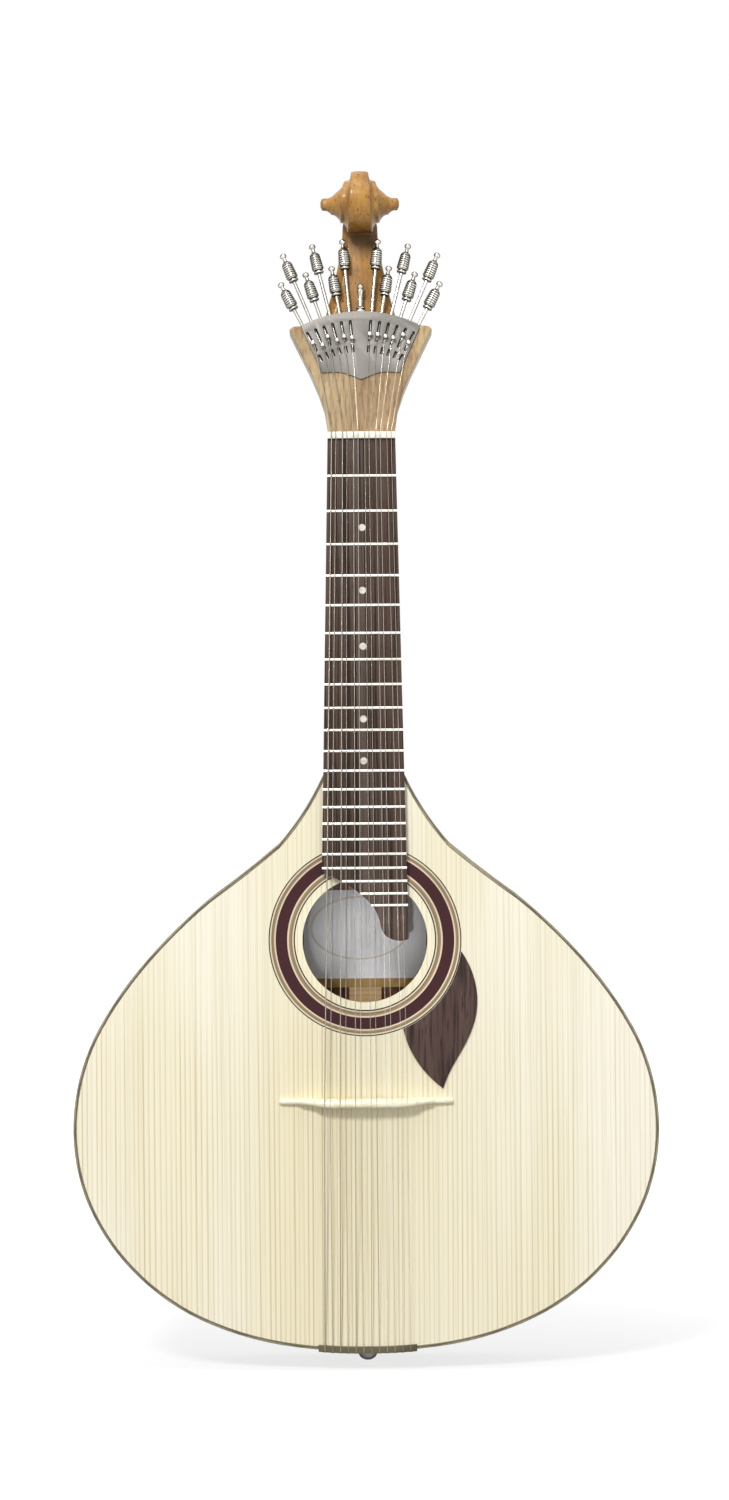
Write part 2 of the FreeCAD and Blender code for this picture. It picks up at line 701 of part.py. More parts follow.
def make_neck():
    """The neck with its heel, and the heel's cap."""
    foot = DEPTH_AT_NECK - HEEL_CAP_THICKNESS
    top_half = board_half(NUT_TO_BODY)
    foot_half = HEEL_FOOT_WIDTH / 2
    first_depth = NECK_DEPTH_AT_BODY / 3
    sections = []
    for width_share, reach_share, down_share in HEEL_SHARES:
        half_width = foot_half + (top_half - foot_half) * width_share
        reach = HEEL_FOOT_REACH + (HEEL_REACH - HEEL_FOOT_REACH) * reach_share
        depth = first_depth + (foot - first_depth) * down_share
        sections.append(heel_section(depth, half_width, reach))
    heel = Part.makeLoft(sections, True, True)
    shaft = make_shaft()
    place("neck", joined([shaft, heel]))
    cap_face = Part.Face(heel_section(foot, foot_half, HEEL_FOOT_REACH))
    place("heel_cap", cap_face.extrude(Vector(0, HEEL_CAP_THICKNESS, 0)))


# Head with its stem and scroll, drawn in the head's own frame


def head_section(up, half_width):
    """A section of the head with rounded back corners, rounder where it meets the neck."""
    share = min(up / HEAD_CORNER_REACH, 1)
    corner = HEAD_CORNER_AT_NUT + share * (HEAD_CORNER - HEAD_CORNER_AT_NUT)
    bend = corner * (1 - math.sqrt(0.5))
    side, flat = HEAD_DEPTH - corner, half_width - corner
    right = [
        Vector(half_width, 0, up),
        Vector(half_width, side, up),
        Vector(half_width - bend, HEAD_DEPTH - bend, up),
        Vector(flat, HEAD_DEPTH, up),
    ]
    left = mirrored_points(right)
    edges = [
        Part.LineSegment(right[0], right[1]),
        Part.Arc(right[1], right[2], right[3]),
        Part.LineSegment(right[3], left[0]),
        Part.Arc(left[0], left[1], left[2]),
        Part.LineSegment(left[2], left[3]),
        Part.LineSegment(left[3], right[0]),
    ]
    return Part.Wire([edge.toShape() for edge in edges])


def head_blank():
    """The flared lower part of the head with rounded back edges, cut to the wings' tops."""
    last_up, last_half = HEAD_PROFILE[-1]
    previous_up, previous_half = HEAD_PROFILE[-2]
    spread = (last_half - previous_half) / (last_up - previous_up)
    profile = HEAD_PROFILE + ((WING_TOP, last_half + spread * (WING_TOP - last_up)),)
    flare = Part.makeLoft([head_section(up, half) for up, half in profile], True, True)
    corner = [
        Vector(last_half, 0, last_up),
        Vector(WING_TOP_HALF, 0, WING_TOP),
        Vector(FAR, 0, WING_TOP),
        Vector(FAR, 0, last_up),
    ]
    inner = [
        Vector(PLATE_TOP_HALF, 0, PLATE_TOP_CORNER),
        Vector(PLATE_TOP_HALF, 0, FAR),
        Vector(STEM_SECTIONS[0][1], 0, FAR),
        Vector(STEM_SECTIONS[0][1], 0, PLATE_TOP_CORNER + FLANGE_THICKNESS),
    ]
    cuts = []
    for points in (corner, mirrored_points(corner), inner, mirrored_points(inner)):
        cuts.append(polygon(points).extrude(BACKWARD * HEAD_DEPTH))
    return flare.cut(cuts)


def rectangle_section(up, half, front, back):
    """A rectangular section of the stem."""
    points = [Vector(-half, front, up), Vector(half, front, up), Vector(half, back, up), Vector(-half, back, up)]
    return Part.makePolygon(points + [points[0]])


def scroll_turns():
    """Bevelled discs of the volute: each half turn is smaller, wider and touches the last one."""
    shrink = (SCROLL_EYE_RADIUS / SCROLL_RADIUS) ** (1 / SCROLL_HALF_TURNS)
    widen = (SCROLL_EYE_HALF_WIDTH - SCROLL_CREST_HALF_WIDTH) / SCROLL_HALF_TURNS
    radius, half_width = SCROLL_RADIUS, SCROLL_CREST_HALF_WIDTH
    centre = Vector(0, -SCROLL_FORWARD, SCROLL_PLACE)
    turns = []
    for index in range(SCROLL_HALF_TURNS + 1):
        for side in (RIGHT, -RIGHT):
            turns.append(Part.makeCone(radius, radius * SCROLL_BEVEL, half_width, centre, side))
        step = radius * (1 - shrink)
        centre = centre + BACKWARD * (step if index % 2 == 0 else -step)
        radius = radius * shrink
        half_width = half_width + widen
    return turns


def make_head():
    """The head in one piece from the nut to the scroll, with the pocket for the machine."""
    stem = Part.makeLoft([rectangle_section(*section) for section in STEM_SECTIONS], True, True)
    cheeks = Part.makeLoft([rectangle_section(*STEM_SECTIONS[-1]), rectangle_section(*CHEEK_TOP)], True, True)
    head = joined([head_blank(), stem, cheeks] + scroll_turns())
    floor = HOUSING_DEPTH
    pocket = housing_face(POCKET_GAP).extrude(BACKWARD * floor)
    path = box(-PLATE_TOP_HALF, PLATE_TOP_HALF, -FAR, floor, PLATE_TOP_CORNER, FAN_RIM)
    half = RUNNER_WIDTH / 2 + SHOULDER_GAP
    front = SCREW_DEPTH - RUNNER_DEPTH / 2 - SHOULDER_GAP
    back = SCREW_DEPTH + RUNNER_DEPTH / 2 + SHOULDER_GAP
    reach = RUNNER_LENGTH / 2 + SHOULDER_GAP
    clearances = []
    for index in (0, TUNER_COUNT - 1):
        start = Vector(0, SCREW_DEPTH, PLATE_RADIUS - 2 * RUNNER_LENGTH)
        groove = Part.makeCylinder(SHOULDER_RADIUS + SHOULDER_GAP, 4 * RUNNER_LENGTH, start)
        channel = box(-half, half, front, back, SLOT_START - reach, SLOT_END + reach)
        clearances += [on_ray(index, groove), on_ray(index, channel)]
    head = head.cut([pocket, path.common(rim_disc(FAR))] + clearances)
    head.Placement = HEAD
    place("head", solids_of(head))


# Fan tuning machine, drawn in the head's own frame

FAN = Vector(0, 0, -FAN_BELOW_HEAD)
FAN_RIM = PLATE_RADIUS - FAN_BELOW_HEAD + 2 * FLANGE_THICKNESS


def fan_angle(index):
    """Angle of a tuner's ray from the head's middle, positive to the right."""
    side = index - TUNER_COUNT // 2
    if side >= 0:
        return FAN_FIRST_ANGLE + FAN_STEP_ANGLE * side
    return -FAN_FIRST_ANGLE + FAN_STEP_ANGLE * (side + 1)


def on_ray(index, shape):
    """Turns a shape drawn along +Z from the fan's centre to a tuner's ray, in the head's frame."""
    shape = shape.copy()
    shape.Placement = Placement(FAN, Rotation(BACKWARD, fan_angle(index))).multiply(shape.Placement)
    return shape


def on_head(shape):
    """Moves a shape from the head's frame to the guitar's."""
    shape = shape.copy()
    shape.Placement = HEAD.multiply(shape.Placement)
    return shape


def rim_disc(depth):
    """The disc round the fan's centre inside the plate's arched rim."""
    return Part.makeCylinder(PLATE_RADIUS, 2 * depth, FAN - BACKWARD * depth, BACKWARD)


def plate_side(up, gap):
    """Half width of the plate's slanting side at a height, widened by a gap."""
    slope = (PLATE_TOP_HALF - PLATE_BOTTOM_HALF) / (PLATE_TOP_CORNER - PLATE_BOTTOM_CORNER)
    return PLATE_BOTTOM_HALF + slope * (up - PLATE_BOTTOM_CORNER) + gap


def housing_face(gap):
    """The trough's outline under the plate: slanting sides, a flat foot and an arched top."""
    foot = PLATE_BOTTOM_CORNER + FLANGE_THICKNESS - gap
    inset = FLANGE_THICKNESS / 4
    top = PLATE_RADIUS
    points = [
        Vector(-plate_side(foot, gap - inset), 0, foot),
        Vector(plate_side(foot, gap - inset), 0, foot),
        Vector(plate_side(PLATE_TOP_CORNER, gap - inset), 0, PLATE_TOP_CORNER),
        Vector(plate_side(PLATE_TOP_CORNER, gap - inset), 0, top),
        Vector(-plate_side(PLATE_TOP_CORNER, gap - inset), 0, top),
        Vector(-plate_side(PLATE_TOP_CORNER, gap - inset), 0, PLATE_TOP_CORNER),
    ]
    disc = Part.makeCylinder(PLATE_RADIUS, 1, FAN, BACKWARD)
    return polygon(points).common(disc).Faces[0]


def slot_cut(index, start, end, width):
    """A round-ended slot through the plate along a tuner's ray."""
    half = width / 2
    ends = [Part.makeCylinder(half, 4 * PLATE_THICKNESS, Vector(0, 0, up), BACKWARD) for up in (start, end)]
    middle = box(-half, half, 0, 4 * PLATE_THICKNESS, start, end)
    cutter = joined([middle] + ends)
    cutter.translate(-BACKWARD * 3 * PLATE_THICKNESS)
    return on_ray(index, cutter)


def make_plate():
    """The face plate with its twelve slots, twelve windows and pointed foot."""
    shoulder = PLATE_BOTTOM_HALF / 2
    foot = PLATE_BOTTOM_CORNER
    left_foot, right_foot = Vector(-PLATE_BOTTOM_HALF, 0, foot), Vector(PLATE_BOTTOM_HALF, 0, foot)
    ogee = [
        left_foot,
        Vector(-shoulder, 0, foot),
        Vector(0, 0, PLATE_POINT),
        Vector(shoulder, 0, foot),
        right_foot,
    ]
    outline = Part.Wire(
        [
            spline(ogee[:3], RIGHT, Vector(1, 0, -0.35)).toShape(),
            spline(ogee[2:], Vector(1, 0, 0.35), RIGHT).toShape(),
            Part.makePolygon(
                [
                    right_foot,
                    Vector(PLATE_TOP_HALF, 0, PLATE_TOP_CORNER),
                    Vector(PLATE_TOP_HALF, 0, PLATE_RADIUS),
                    Vector(-PLATE_TOP_HALF, 0, PLATE_RADIUS),
                    Vector(-PLATE_TOP_HALF, 0, PLATE_TOP_CORNER),
                    left_foot,
                ]
            ),
        ]
    )
    plate = Part.Face(outline).extrude(-BACKWARD * PLATE_THICKNESS).common(rim_disc(FAR))
    cuts = []
    for index in range(TUNER_COUNT):
        cuts.append(slot_cut(index, SLOT_START, SLOT_END, SLOT_WIDTH))
        half = SLOT_WIDTH / 2
        window = box(-half, half, -2 * PLATE_THICKNESS, PLATE_THICKNESS, WINDOW_START, WINDOW_END)
        cuts.append(on_ray(index, window))
    place("fan_plate", on_head(solids_of(plate.cut(cuts))))


def arch(radius):
    """A flange bent round the fan's centre in short flats, one square to each screw."""
    angles = [fan_angle(index) for index in range(TUNER_COUNT)]
    bends = [(a + b) / 2 for a, b in zip(angles, angles[1:])]
    turns = [angles[0] - FAN_STEP_ANGLE] + bends + [angles[-1] + FAN_STEP_ANGLE]
    outer, inner = [], []
    for turn in turns:
        direction = Vector(math.sin(math.radians(turn)), 0, math.cos(math.radians(turn)))
        outer.append(FAN + direction * radius)
        inner.append(FAN + direction * (radius - FLANGE_THICKNESS))
    return polygon(outer + list(reversed(inner))).extrude(BACKWARD * HOUSING_DEPTH)


def make_housing():
    """The trough under the plate, with the two arched flanges that the screws turn in."""
    outline = housing_face(0)
    sheet = outline.extrude(BACKWARD * HOUSING_SHEET)
    sheet.translate(BACKWARD * (HOUSING_DEPTH - HOUSING_SHEET))
    space = outline.extrude(BACKWARD * HOUSING_DEPTH)

    body = joined([sheet] + [arch(radius).common(space) for radius in (PLATE_RADIUS, LOWER_FLANGE_RADIUS)])
    bores = []
    for index in range(TUNER_COUNT):
        start = Vector(0, SCREW_DEPTH, LOWER_FLANGE_RADIUS - FLANGE_THICKNESS / 2)
        bore = Part.makeCylinder(SCREW_RADIUS + RUNNING_GAP, PLATE_RADIUS, start)
        bores.append(on_ray(index, bore))
    place("fan_housing", on_head(solids_of(body.cut(bores))))


def knob_place(index):
    """Place of a knob's foot along its ray: long and short shafts alternate from the middle."""
    from_middle = abs(index - TUNER_COUNT // 2 + (1 if index < TUNER_COUNT // 2 else 0))
    return LONG_KNOB_PLACE if from_middle % 2 == 0 else SHORT_KNOB_PLACE


def make_tuner_screw(index):
    """A screw with its shoulder under the upper flange and its knob."""
    start = LOWER_FLANGE_RADIUS - FLANGE_THICKNESS / 2 + RUNNING_GAP
    shoulder_top = PLATE_RADIUS - FLANGE_THICKNESS - SHOULDER_GAP
    foot = knob_place(index)
    tip_start = foot + KNOB_LENGTH
    groove = KNOB_RADIUS - KNOB_GROOVE_DEPTH
    profile = [
        (0, start),
        (SCREW_RADIUS, start),
        (SCREW_RADIUS, shoulder_top - SHOULDER_LENGTH),
        (SHOULDER_RADIUS, shoulder_top - SHOULDER_LENGTH),
        (SHOULDER_RADIUS, shoulder_top),
        (SCREW_RADIUS, shoulder_top),
        (SCREW_RADIUS, foot),
        (groove, foot),
        (groove, foot + KNOB_COLLAR_LENGTH),
    ]
    ball = tip_start + KNOB_TIP_LENGTH
    profile += [
        (KNOB_RADIUS, foot + KNOB_COLLAR_LENGTH),
        (KNOB_RADIUS, tip_start),
        (KNOB_NECK_RADIUS, tip_start),
        (KNOB_NECK_RADIUS, ball - 2 * KNOB_TIP_RADIUS),
        (KNOB_TIP_RADIUS, ball - 2 * KNOB_TIP_RADIUS),
        (KNOB_TIP_RADIUS, ball),
        (0, ball),
    ]
    screw = turned(profile, Vector(0, SCREW_DEPTH, 0), UP)
    place("tuner_screw_%02d" % (index + 1), on_head(on_ray(index, screw)))


def make_tuner_hook(index):
    """A runner on its screw, with the post that passes the plate's slot and carries the bead."""
    middle = HOOK_PLACES[index]
    half_width, half_length = RUNNER_WIDTH / 2, RUNNER_LENGTH / 2
    front, back = SCREW_DEPTH - RUNNER_DEPTH / 2, SCREW_DEPTH + RUNNER_DEPTH / 2
    runner = box(-half_width, half_width, front, back, middle - half_length, middle + half_length)
    thread = Part.makeCylinder(
        SCREW_RADIUS + RUNNING_GAP, RUNNER_LENGTH, Vector(0, SCREW_DEPTH, middle - half_length)
    )
    bead = HOOK_BEAD_RADIUS
    top = HOOK_POST_HEIGHT
    profile = [
        (0, -front),
        (HOOK_POST_RADIUS, -front),
        (HOOK_POST_RADIUS, top - bead / 2),
        (bead, top - bead / 2),
        (bead, top + bead),
        (0, top + bead),
    ]
    post = turned(profile, Vector(0, 0, middle), -BACKWARD)
    hook = joined([runner.cut(thread), post])
    place("tuner_hook_%02d" % (index + 1), on_head(on_ray(index, hook)))


def make_finial():
    """The small turned post on the middle of the machine's upper flange."""
    start = PLATE_RADIUS
    radius = FINIAL_RADIUS
    profile = [
        (0, start),
        (radius, start),
        (radius, start + FINIAL_FOOT_HEIGHT),
        (radius / 2, start + FINIAL_WAIST_HEIGHT),
        (radius / 2, start + FINIAL_HEIGHT * 0.45),
        (radius, start + FINIAL_HEIGHT * 0.68),
        (radius * 0.45, start + FINIAL_HEIGHT * 0.86),
        (radius * 0.6, start + FINIAL_HEIGHT * 0.93),
        (0, start + FINIAL_HEIGHT),
    ]
    finial = turned(profile, FAN + Vector(0, SCREW_DEPTH, 0), UP)
    place("fan_finial", on_head(finial))


# Bridge, strings and tail


def course_spread(index, course_pitch, pair_pitch):
    """Distance of a string from the centre where courses are grouped in pairs."""
    course, second = divmod(index, 2)
    return (course - (COURSE_COUNT - 1) / 2) * course_pitch + (second - 0.5) * pair_pitch


def string_at_nut(index):
    """Centre of a string where it leaves the nut for the board."""
    across = course_spread(index, COURSE_PITCH_AT_NUT, PAIR_PITCH_AT_NUT)
    return Vector(across, camber_depth(across, STRING_OVER_BOARD_AT_NUT), 0)


def string_at_bridge(index):
    """Centre of a string on the bridge's crown."""
    across = course_spread(index, COURSE_PITCH_AT_BRIDGE, PAIR_PITCH_AT_BRIDGE)
    rise = BRIDGE_HEIGHT - BOARD_THICKNESS
    return Vector(across, camber_depth(across, rise) + STRING_RADII[index] / 2, -SCALE_LENGTH)


def tail_across(index):
    """Distance of a string from the centre at the tail."""
    return (index - (TUNER_COUNT - 1) / 2) * STRING_PITCH_AT_TAIL


def make_bridge():
    """The arched bridge with low feet and a notched, cambered crown."""
    half, step, crown = BRIDGE_WIDTH / 2, BRIDGE_STEP_WIDTH / 2, BRIDGE_CROWN_WIDTH / 2
    foot = -BRIDGE_FOOT_HEIGHT
    arch = BRIDGE_ARCH_WIDTH / 2
    rise = BRIDGE_HEIGHT - BOARD_THICKNESS
    crown_end = camber_depth(crown, rise)
    corners = [
        Vector(arch, 0, 0),
        Vector(half, 0, 0),
        Vector(half, foot, 0),
        Vector(step, foot, 0),
        Vector(crown, crown_end, 0),
    ]
    edges = [Part.LineSegment(a, b) for a, b in zip(corners, corners[1:])]
    edges.append(Part.Arc(corners[-1], Vector(0, -BRIDGE_HEIGHT, 0), Vector(-crown, crown_end, 0)))
    left = mirrored_points(corners)
    edges += [Part.LineSegment(a, b) for a, b in zip(left, left[1:])]
    edges.append(Part.Arc(left[-1], Vector(0, -BRIDGE_ARCH_HEIGHT, 0), corners[0]))
    thick = BRIDGE_BASE_THICKNESS
    blank = face_of(*edges).extrude(UP * thick)
    blank.translate(Vector(0, 0, -SCALE_LENGTH - thick / 2))
    top = BRIDGE_TOP_THICKNESS / 2
    side = [
        Vector(-half, 0, -thick / 2),
        Vector(-half, 0, thick / 2),
        Vector(-half, -BRIDGE_HEIGHT, top),
        Vector(-half, -BRIDGE_HEIGHT, -top),
    ]
    wedge = polygon(side).extrude(RIGHT * BRIDGE_WIDTH)
    wedge.translate(Vector(0, 0, -SCALE_LENGTH))
    notches = []
    for index in range(TUNER_COUNT):
        seat = string_at_bridge(index)
        radius = STRING_RADII[index] + NOTCH_GAP
        low, high = seat.z - thick, seat.z + thick
        notches.append(box(seat.x - radius, seat.x + radius, -FAR, seat.y + radius, low, high))
    place("bridge", solids_of(blank.common(wedge).cut(notches)))


def string_path(index):
    """Points of a string from its hook over the nut, the bridge and the guard to its pin."""
    radius = STRING_RADII[index]
    turn = math.radians(fan_angle(index))
    reach = HOOK_PLACES[index] - HOOK_POST_RADIUS - STRING_END_GAP
    hook = FAN + Vector(reach * math.sin(turn), -STRING_OVER_PLATE, reach * math.cos(turn))
    nut = string_at_nut(index)
    across = tail_across(index)
    edge = tail_place(across) - GUARD_THICKNESS - radius - NOTCH_GAP
    corner = Vector(across, -GUARD_THICKNESS - radius - NOTCH_GAP, edge)
    pin_side = TAIL_PIN_FROM_TOP - TAIL_PIN_RADIUS - STRING_END_GAP
    pin = Vector(across, pin_side, tail_place(across) - TAILPIECE_THICKNESS - TAIL_PIN_LENGTH / 2)
    return [HEAD.multVec(hook), nut + UP * NUT_THICKNESS, nut, string_at_bridge(index), corner, pin]


def string_solid(index):
    """One string as a six-sided tube with mitred bends."""
    points = string_path(index)
    runs = [(end - start).normalize() for start, end in zip(points, points[1:])]
    facing = Rotation(UP, runs[0])
    ring = []
    for step in range(STRING_SIDES):
        turn = math.tau * step / STRING_SIDES
        corner = Vector(math.cos(turn), math.sin(turn), 0) * STRING_RADII[index]
        ring.append(points[0] + facing.multVec(corner))
    rings = [ring]
    for number, along in enumerate(runs, start=1):
        bend = points[number]
        mitre = along + runs[min(number, len(runs) - 1)]
        ring = [corner + along * ((bend - corner).dot(mitre) / along.dot(mitre)) for corner in ring]
        rings.append(ring)
    return polyhedron(rings)


def make_strings():
    """Six courses of two strings each."""
    for course in range(COURSE_COUNT):
        pair = [string_solid(2 * course), string_solid(2 * course + 1)]
        place("string_course_%d" % (course + 1), many(pair))


def tail_shell(outward, front, back, half_width):
    """A curved plate on the tail's end face, from one depth to another."""
    shell = right_strip(-outward, 0, front, back)
    shell = shell.common(box(0, half_width, front, back, -2 * FAR, (BODY_BOTTOM + BODY_TOP) / 2))
    return joined([shell, mirrored(shell)])


def tail_screw(side):
    """One of the two screws that hold the tailpiece."""
    across = side * TAIL_SCREW_SPACING / 2
    surface = tail_place(across) - TAILPIECE_THICKNESS
    profile = [
        (0, -TAIL_SCREW_HEAD),
        (TAIL_SCREW_HEAD_RADIUS, -TAIL_SCREW_HEAD / 2),
        (TAIL_SCREW_HEAD_RADIUS, 0),
        (TAIL_SCREW_RADIUS, 0),
        (TAIL_SCREW_RADIUS, TAIL_SCREW_LENGTH - TAIL_SCREW_RADIUS),
        (0, TAIL_SCREW_LENGTH),
    ]
    return turned(profile, Vector(across, TAIL_SCREW_FROM_TOP, surface), UP)


def button_screw():
    """The wood screw that holds the strap button."""
    profile = [
        (0, 0),
        (BUTTON_SCREW_RADIUS, 0),
        (BUTTON_SCREW_RADIUS, BUTTON_SCREW_LENGTH - BUTTON_SCREW_RADIUS),
        (0, BUTTON_SCREW_LENGTH),
    ]
    return turned(profile, Vector(0, BUTTON_FROM_TOP, BODY_BOTTOM), UP)


def make_tail():
    """The guard over the edge, the tailpiece with its pins, its screws and the strap button."""
    half = GUARD_WIDTH / 2
    flange = right_strip(-GUARD_THICKNESS, GUARD_ON_TOP, -GUARD_THICKNESS, 0)
    skirt = right_strip(-GUARD_THICKNESS, 0, -GUARD_THICKNESS, GUARD_ON_SIDE)
    strip = box(0, half, -GUARD_THICKNESS, GUARD_ON_SIDE, -2 * FAR, (BODY_BOTTOM + BODY_TOP) / 2)
    guard = joined([flange, skirt]).common(strip)
    place("tail_guard", joined([guard, mirrored(guard)]))

    back = TAILPIECE_FROM_TOP + TAILPIECE_DEPTH
    plate = tail_shell(TAILPIECE_THICKNESS, TAILPIECE_FROM_TOP, back, TAILPIECE_WIDTH / 2)
    pins = []
    for index in range(TUNER_COUNT):
        across = tail_across(index)
        profile = [
            (0, -TAILPIECE_THICKNESS / 2),
            (TAIL_PIN_RADIUS, -TAILPIECE_THICKNESS / 2),
            (TAIL_PIN_RADIUS, TAIL_PIN_LENGTH),
            (TAIL_PIN_HEAD_RADIUS, TAIL_PIN_LENGTH),
            (TAIL_PIN_HEAD_RADIUS, TAIL_PIN_LENGTH + TAIL_PIN_HEAD),
            (0, TAIL_PIN_LENGTH + TAIL_PIN_HEAD),
        ]
        surface = tail_place(across) - TAILPIECE_THICKNESS
        pins.append(turned(profile, Vector(across, TAIL_PIN_FROM_TOP, surface), -UP))
    screws = [tail_screw(side) for side in (-1, 1)]
    place("tailpiece", solids_of(joined([plate] + pins).cut(screws)))
    place("tail_screws", many(screws + [button_screw()]))

    profile = [
        (0, 0),
        (BUTTON_FOOT_RADIUS, 0),
        (BUTTON_NECK_RADIUS, BUTTON_LENGTH * 0.35),
        (BUTTON_NECK_RADIUS, BUTTON_LENGTH * 0.6),
        (BUTTON_RADIUS, BUTTON_LENGTH * 0.75),
        (BUTTON_RADIUS * 0.75, BUTTON_LENGTH * 0.93),
        (0, BUTTON_LENGTH),
    ]
    button = turned(profile, Vector(0, BUTTON_FROM_TOP, BODY_BOTTOM), -UP)
    place("strap_button", solids_of(button.cut(body_prism(0, 0, DEPTH_AT_TAIL))))


PIECES = {}


def main():
    """Makes every piece and writes its file."""
    os.makedirs("parts", exist_ok=True)
    make_body()
    make_blocks_and_braces()
    make_rosette()
    make_pickguard()
    make_fingerboard()
    make_nut()
    make_neck()
    make_head()
    make_plate()
    make_housing()
    make_finial()
    for index in range(TUNER_COUNT):
        make_tuner_screw(index)
        make_tuner_hook(index)
    make_bridge()
    make_strings()
    make_tail()
    print(len(PIECES), "pieces")
    for name, shape in PIECES.items():
        if not shape.isValid() or not shape.Solids:
            print("check the shape of", name)


main()
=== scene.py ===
"""Looks of a Portuguese guitar of the Lisbon shape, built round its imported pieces.

Shapes are drawn in millimetres, in one of three frames: the guitar's (nut's working edge and the
soundboard's face at zero, neck along +Z, strings on the -Y side), the head's, which leans back from
the nut, and a tuner's ray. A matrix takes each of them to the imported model's frame in metres.
"""

import json
import logging
import math
from collections.abc import Iterable, Sequence
from dataclasses import dataclass
from enum import Enum

import bmesh
import bpy
from mathutils import Matrix, Vector
from mathutils.bvhtree import BVHTree

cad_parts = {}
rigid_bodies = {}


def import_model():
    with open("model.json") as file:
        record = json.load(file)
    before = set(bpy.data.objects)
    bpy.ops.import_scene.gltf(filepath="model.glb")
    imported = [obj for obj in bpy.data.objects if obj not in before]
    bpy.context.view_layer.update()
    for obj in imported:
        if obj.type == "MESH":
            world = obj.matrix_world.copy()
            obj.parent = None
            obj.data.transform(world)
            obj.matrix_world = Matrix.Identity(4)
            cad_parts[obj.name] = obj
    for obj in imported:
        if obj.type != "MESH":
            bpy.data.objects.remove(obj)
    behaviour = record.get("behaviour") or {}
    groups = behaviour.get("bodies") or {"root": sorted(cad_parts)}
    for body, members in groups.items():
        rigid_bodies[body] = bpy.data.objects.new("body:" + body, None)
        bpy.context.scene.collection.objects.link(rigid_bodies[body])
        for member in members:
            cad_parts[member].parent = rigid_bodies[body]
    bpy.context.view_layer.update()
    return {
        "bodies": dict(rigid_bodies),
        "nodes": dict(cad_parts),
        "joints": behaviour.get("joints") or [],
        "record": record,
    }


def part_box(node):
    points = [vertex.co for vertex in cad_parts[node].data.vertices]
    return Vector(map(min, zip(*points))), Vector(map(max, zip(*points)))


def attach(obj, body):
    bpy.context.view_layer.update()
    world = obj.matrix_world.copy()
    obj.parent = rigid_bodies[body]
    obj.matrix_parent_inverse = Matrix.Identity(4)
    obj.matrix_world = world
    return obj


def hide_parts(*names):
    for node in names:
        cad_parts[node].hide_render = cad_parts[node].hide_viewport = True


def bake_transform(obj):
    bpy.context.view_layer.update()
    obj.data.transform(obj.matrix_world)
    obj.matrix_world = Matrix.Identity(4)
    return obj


LOG = logging.getLogger("guitar")

MM = 0.001
TURN = math.tau
Colour = tuple[float, float, float, float]
Point = tuple[float, float, float]
Mesh = tuple[list[Point], list[tuple[int, ...]]]
Piece = bpy.types.Object
Material = bpy.types.Material
Tree = bpy.types.NodeTree
Node = bpy.types.Node
Socket = bpy.types.NodeSocket
Started = tuple[Material, Tree, Node, Socket]


# Shared helpers for colours, meshes and nodes


def srgb(red: int, green: int, blue: int) -> Colour:
    """Turns an everyday colour into the linear one that shaders read.

    Args:
        red: Red from 0 to 255.
        green: Green from 0 to 255.
        blue: Blue from 0 to 255.

    Returns:
        The linear colour with full alpha.
    """
    linear = []
    for level in (red, green, blue):
        share = level / 255
        linear.append(share / 12.92 if share <= 0.04045 else ((share + 0.055) / 1.055) ** 2.4)
    return (linear[0], linear[1], linear[2], 1.0)


def between(a: float, b: float, c: float, d: float, t: float) -> float:
    """Gives the smooth line's coordinate at a share t of the way from b to c, with a before and d after."""
    line = 2 * b + (c - a) * t + (2 * a - 5 * b + 4 * c - d) * t * t
    return 0.5 * (line + (3 * b - a - 3 * c + d) * t ** 3)


def smooth_through(points: Sequence[Sequence[float]], steps: int) -> list[tuple[float, ...]]:
    """Runs a smooth line through points.

    Args:
        points: The points, of any number of coordinates.
        steps: How many stretches each span gets.

    Returns:
        Points on the line, the given ones among them.
    """
    line = []
    last = len(points) - 1
    for span in range(last):
        before, start = points[max(span - 1, 0)], points[span]
        end, after = points[span + 1], points[min(span + 2, last)]
        for step in range(steps):
            share = step / steps
            line.append(tuple(between(a, b, c, d, share) for a, b, c, d in zip(before, start, end, after)))
    line.append(tuple(points[last]))
    return line


def loft(rings: Sequence[Sequence[Point]]) -> Mesh:
    """Joins rings of the same number of corners into one skin with closed ends.

    Args:
        rings: The rings, in order.

    Returns:
        The corners and faces.
    """
    count = len(rings[0])
    corners = [corner for ring in rings for corner in ring]
    faces: list[tuple[int, ...]] = []
    for row in range(len(rings) - 1):
        for column in range(count):
            beside = (column + 1) % count
            low, high = row * count, (row + 1) * count
            faces.append((low + column, low + beside, high + beside, high + column))
    top = (len(rings) - 1) * count
    faces.append(tuple(reversed(range(count))))
    faces.append(tuple(range(top, top + count)))
    return corners, faces


def lathe(profile: Sequence[tuple[float, float]], sides: int) -> Mesh:
    """Turns a profile round the Z axis.

    Args:
        profile: Radius and height pairs from one end to the other. Ends at radius zero become poles.
        sides: How many sides the turned piece has.

    Returns:
        The corners and faces.
    """
    corners: list[Point] = []
    faces: list[tuple[int, ...]] = []
    rows = []
    for radius, height in profile:
        if radius < 1e-6:
            rows.append([len(corners)] * sides)
            corners.append((0.0, 0.0, height))
            continue
        rows.append(list(range(len(corners), len(corners) + sides)))
        for side in range(sides):
            angle = TURN * side / sides
            corners.append((radius * math.cos(angle), radius * math.sin(angle), height))
    for low, high in zip(rows, rows[1:]):
        for side in range(sides):
            beside = (side + 1) % sides
            face = (low[side], low[beside], high[beside], high[side])
            faces.append(tuple(dict.fromkeys(face)))
    return corners, faces


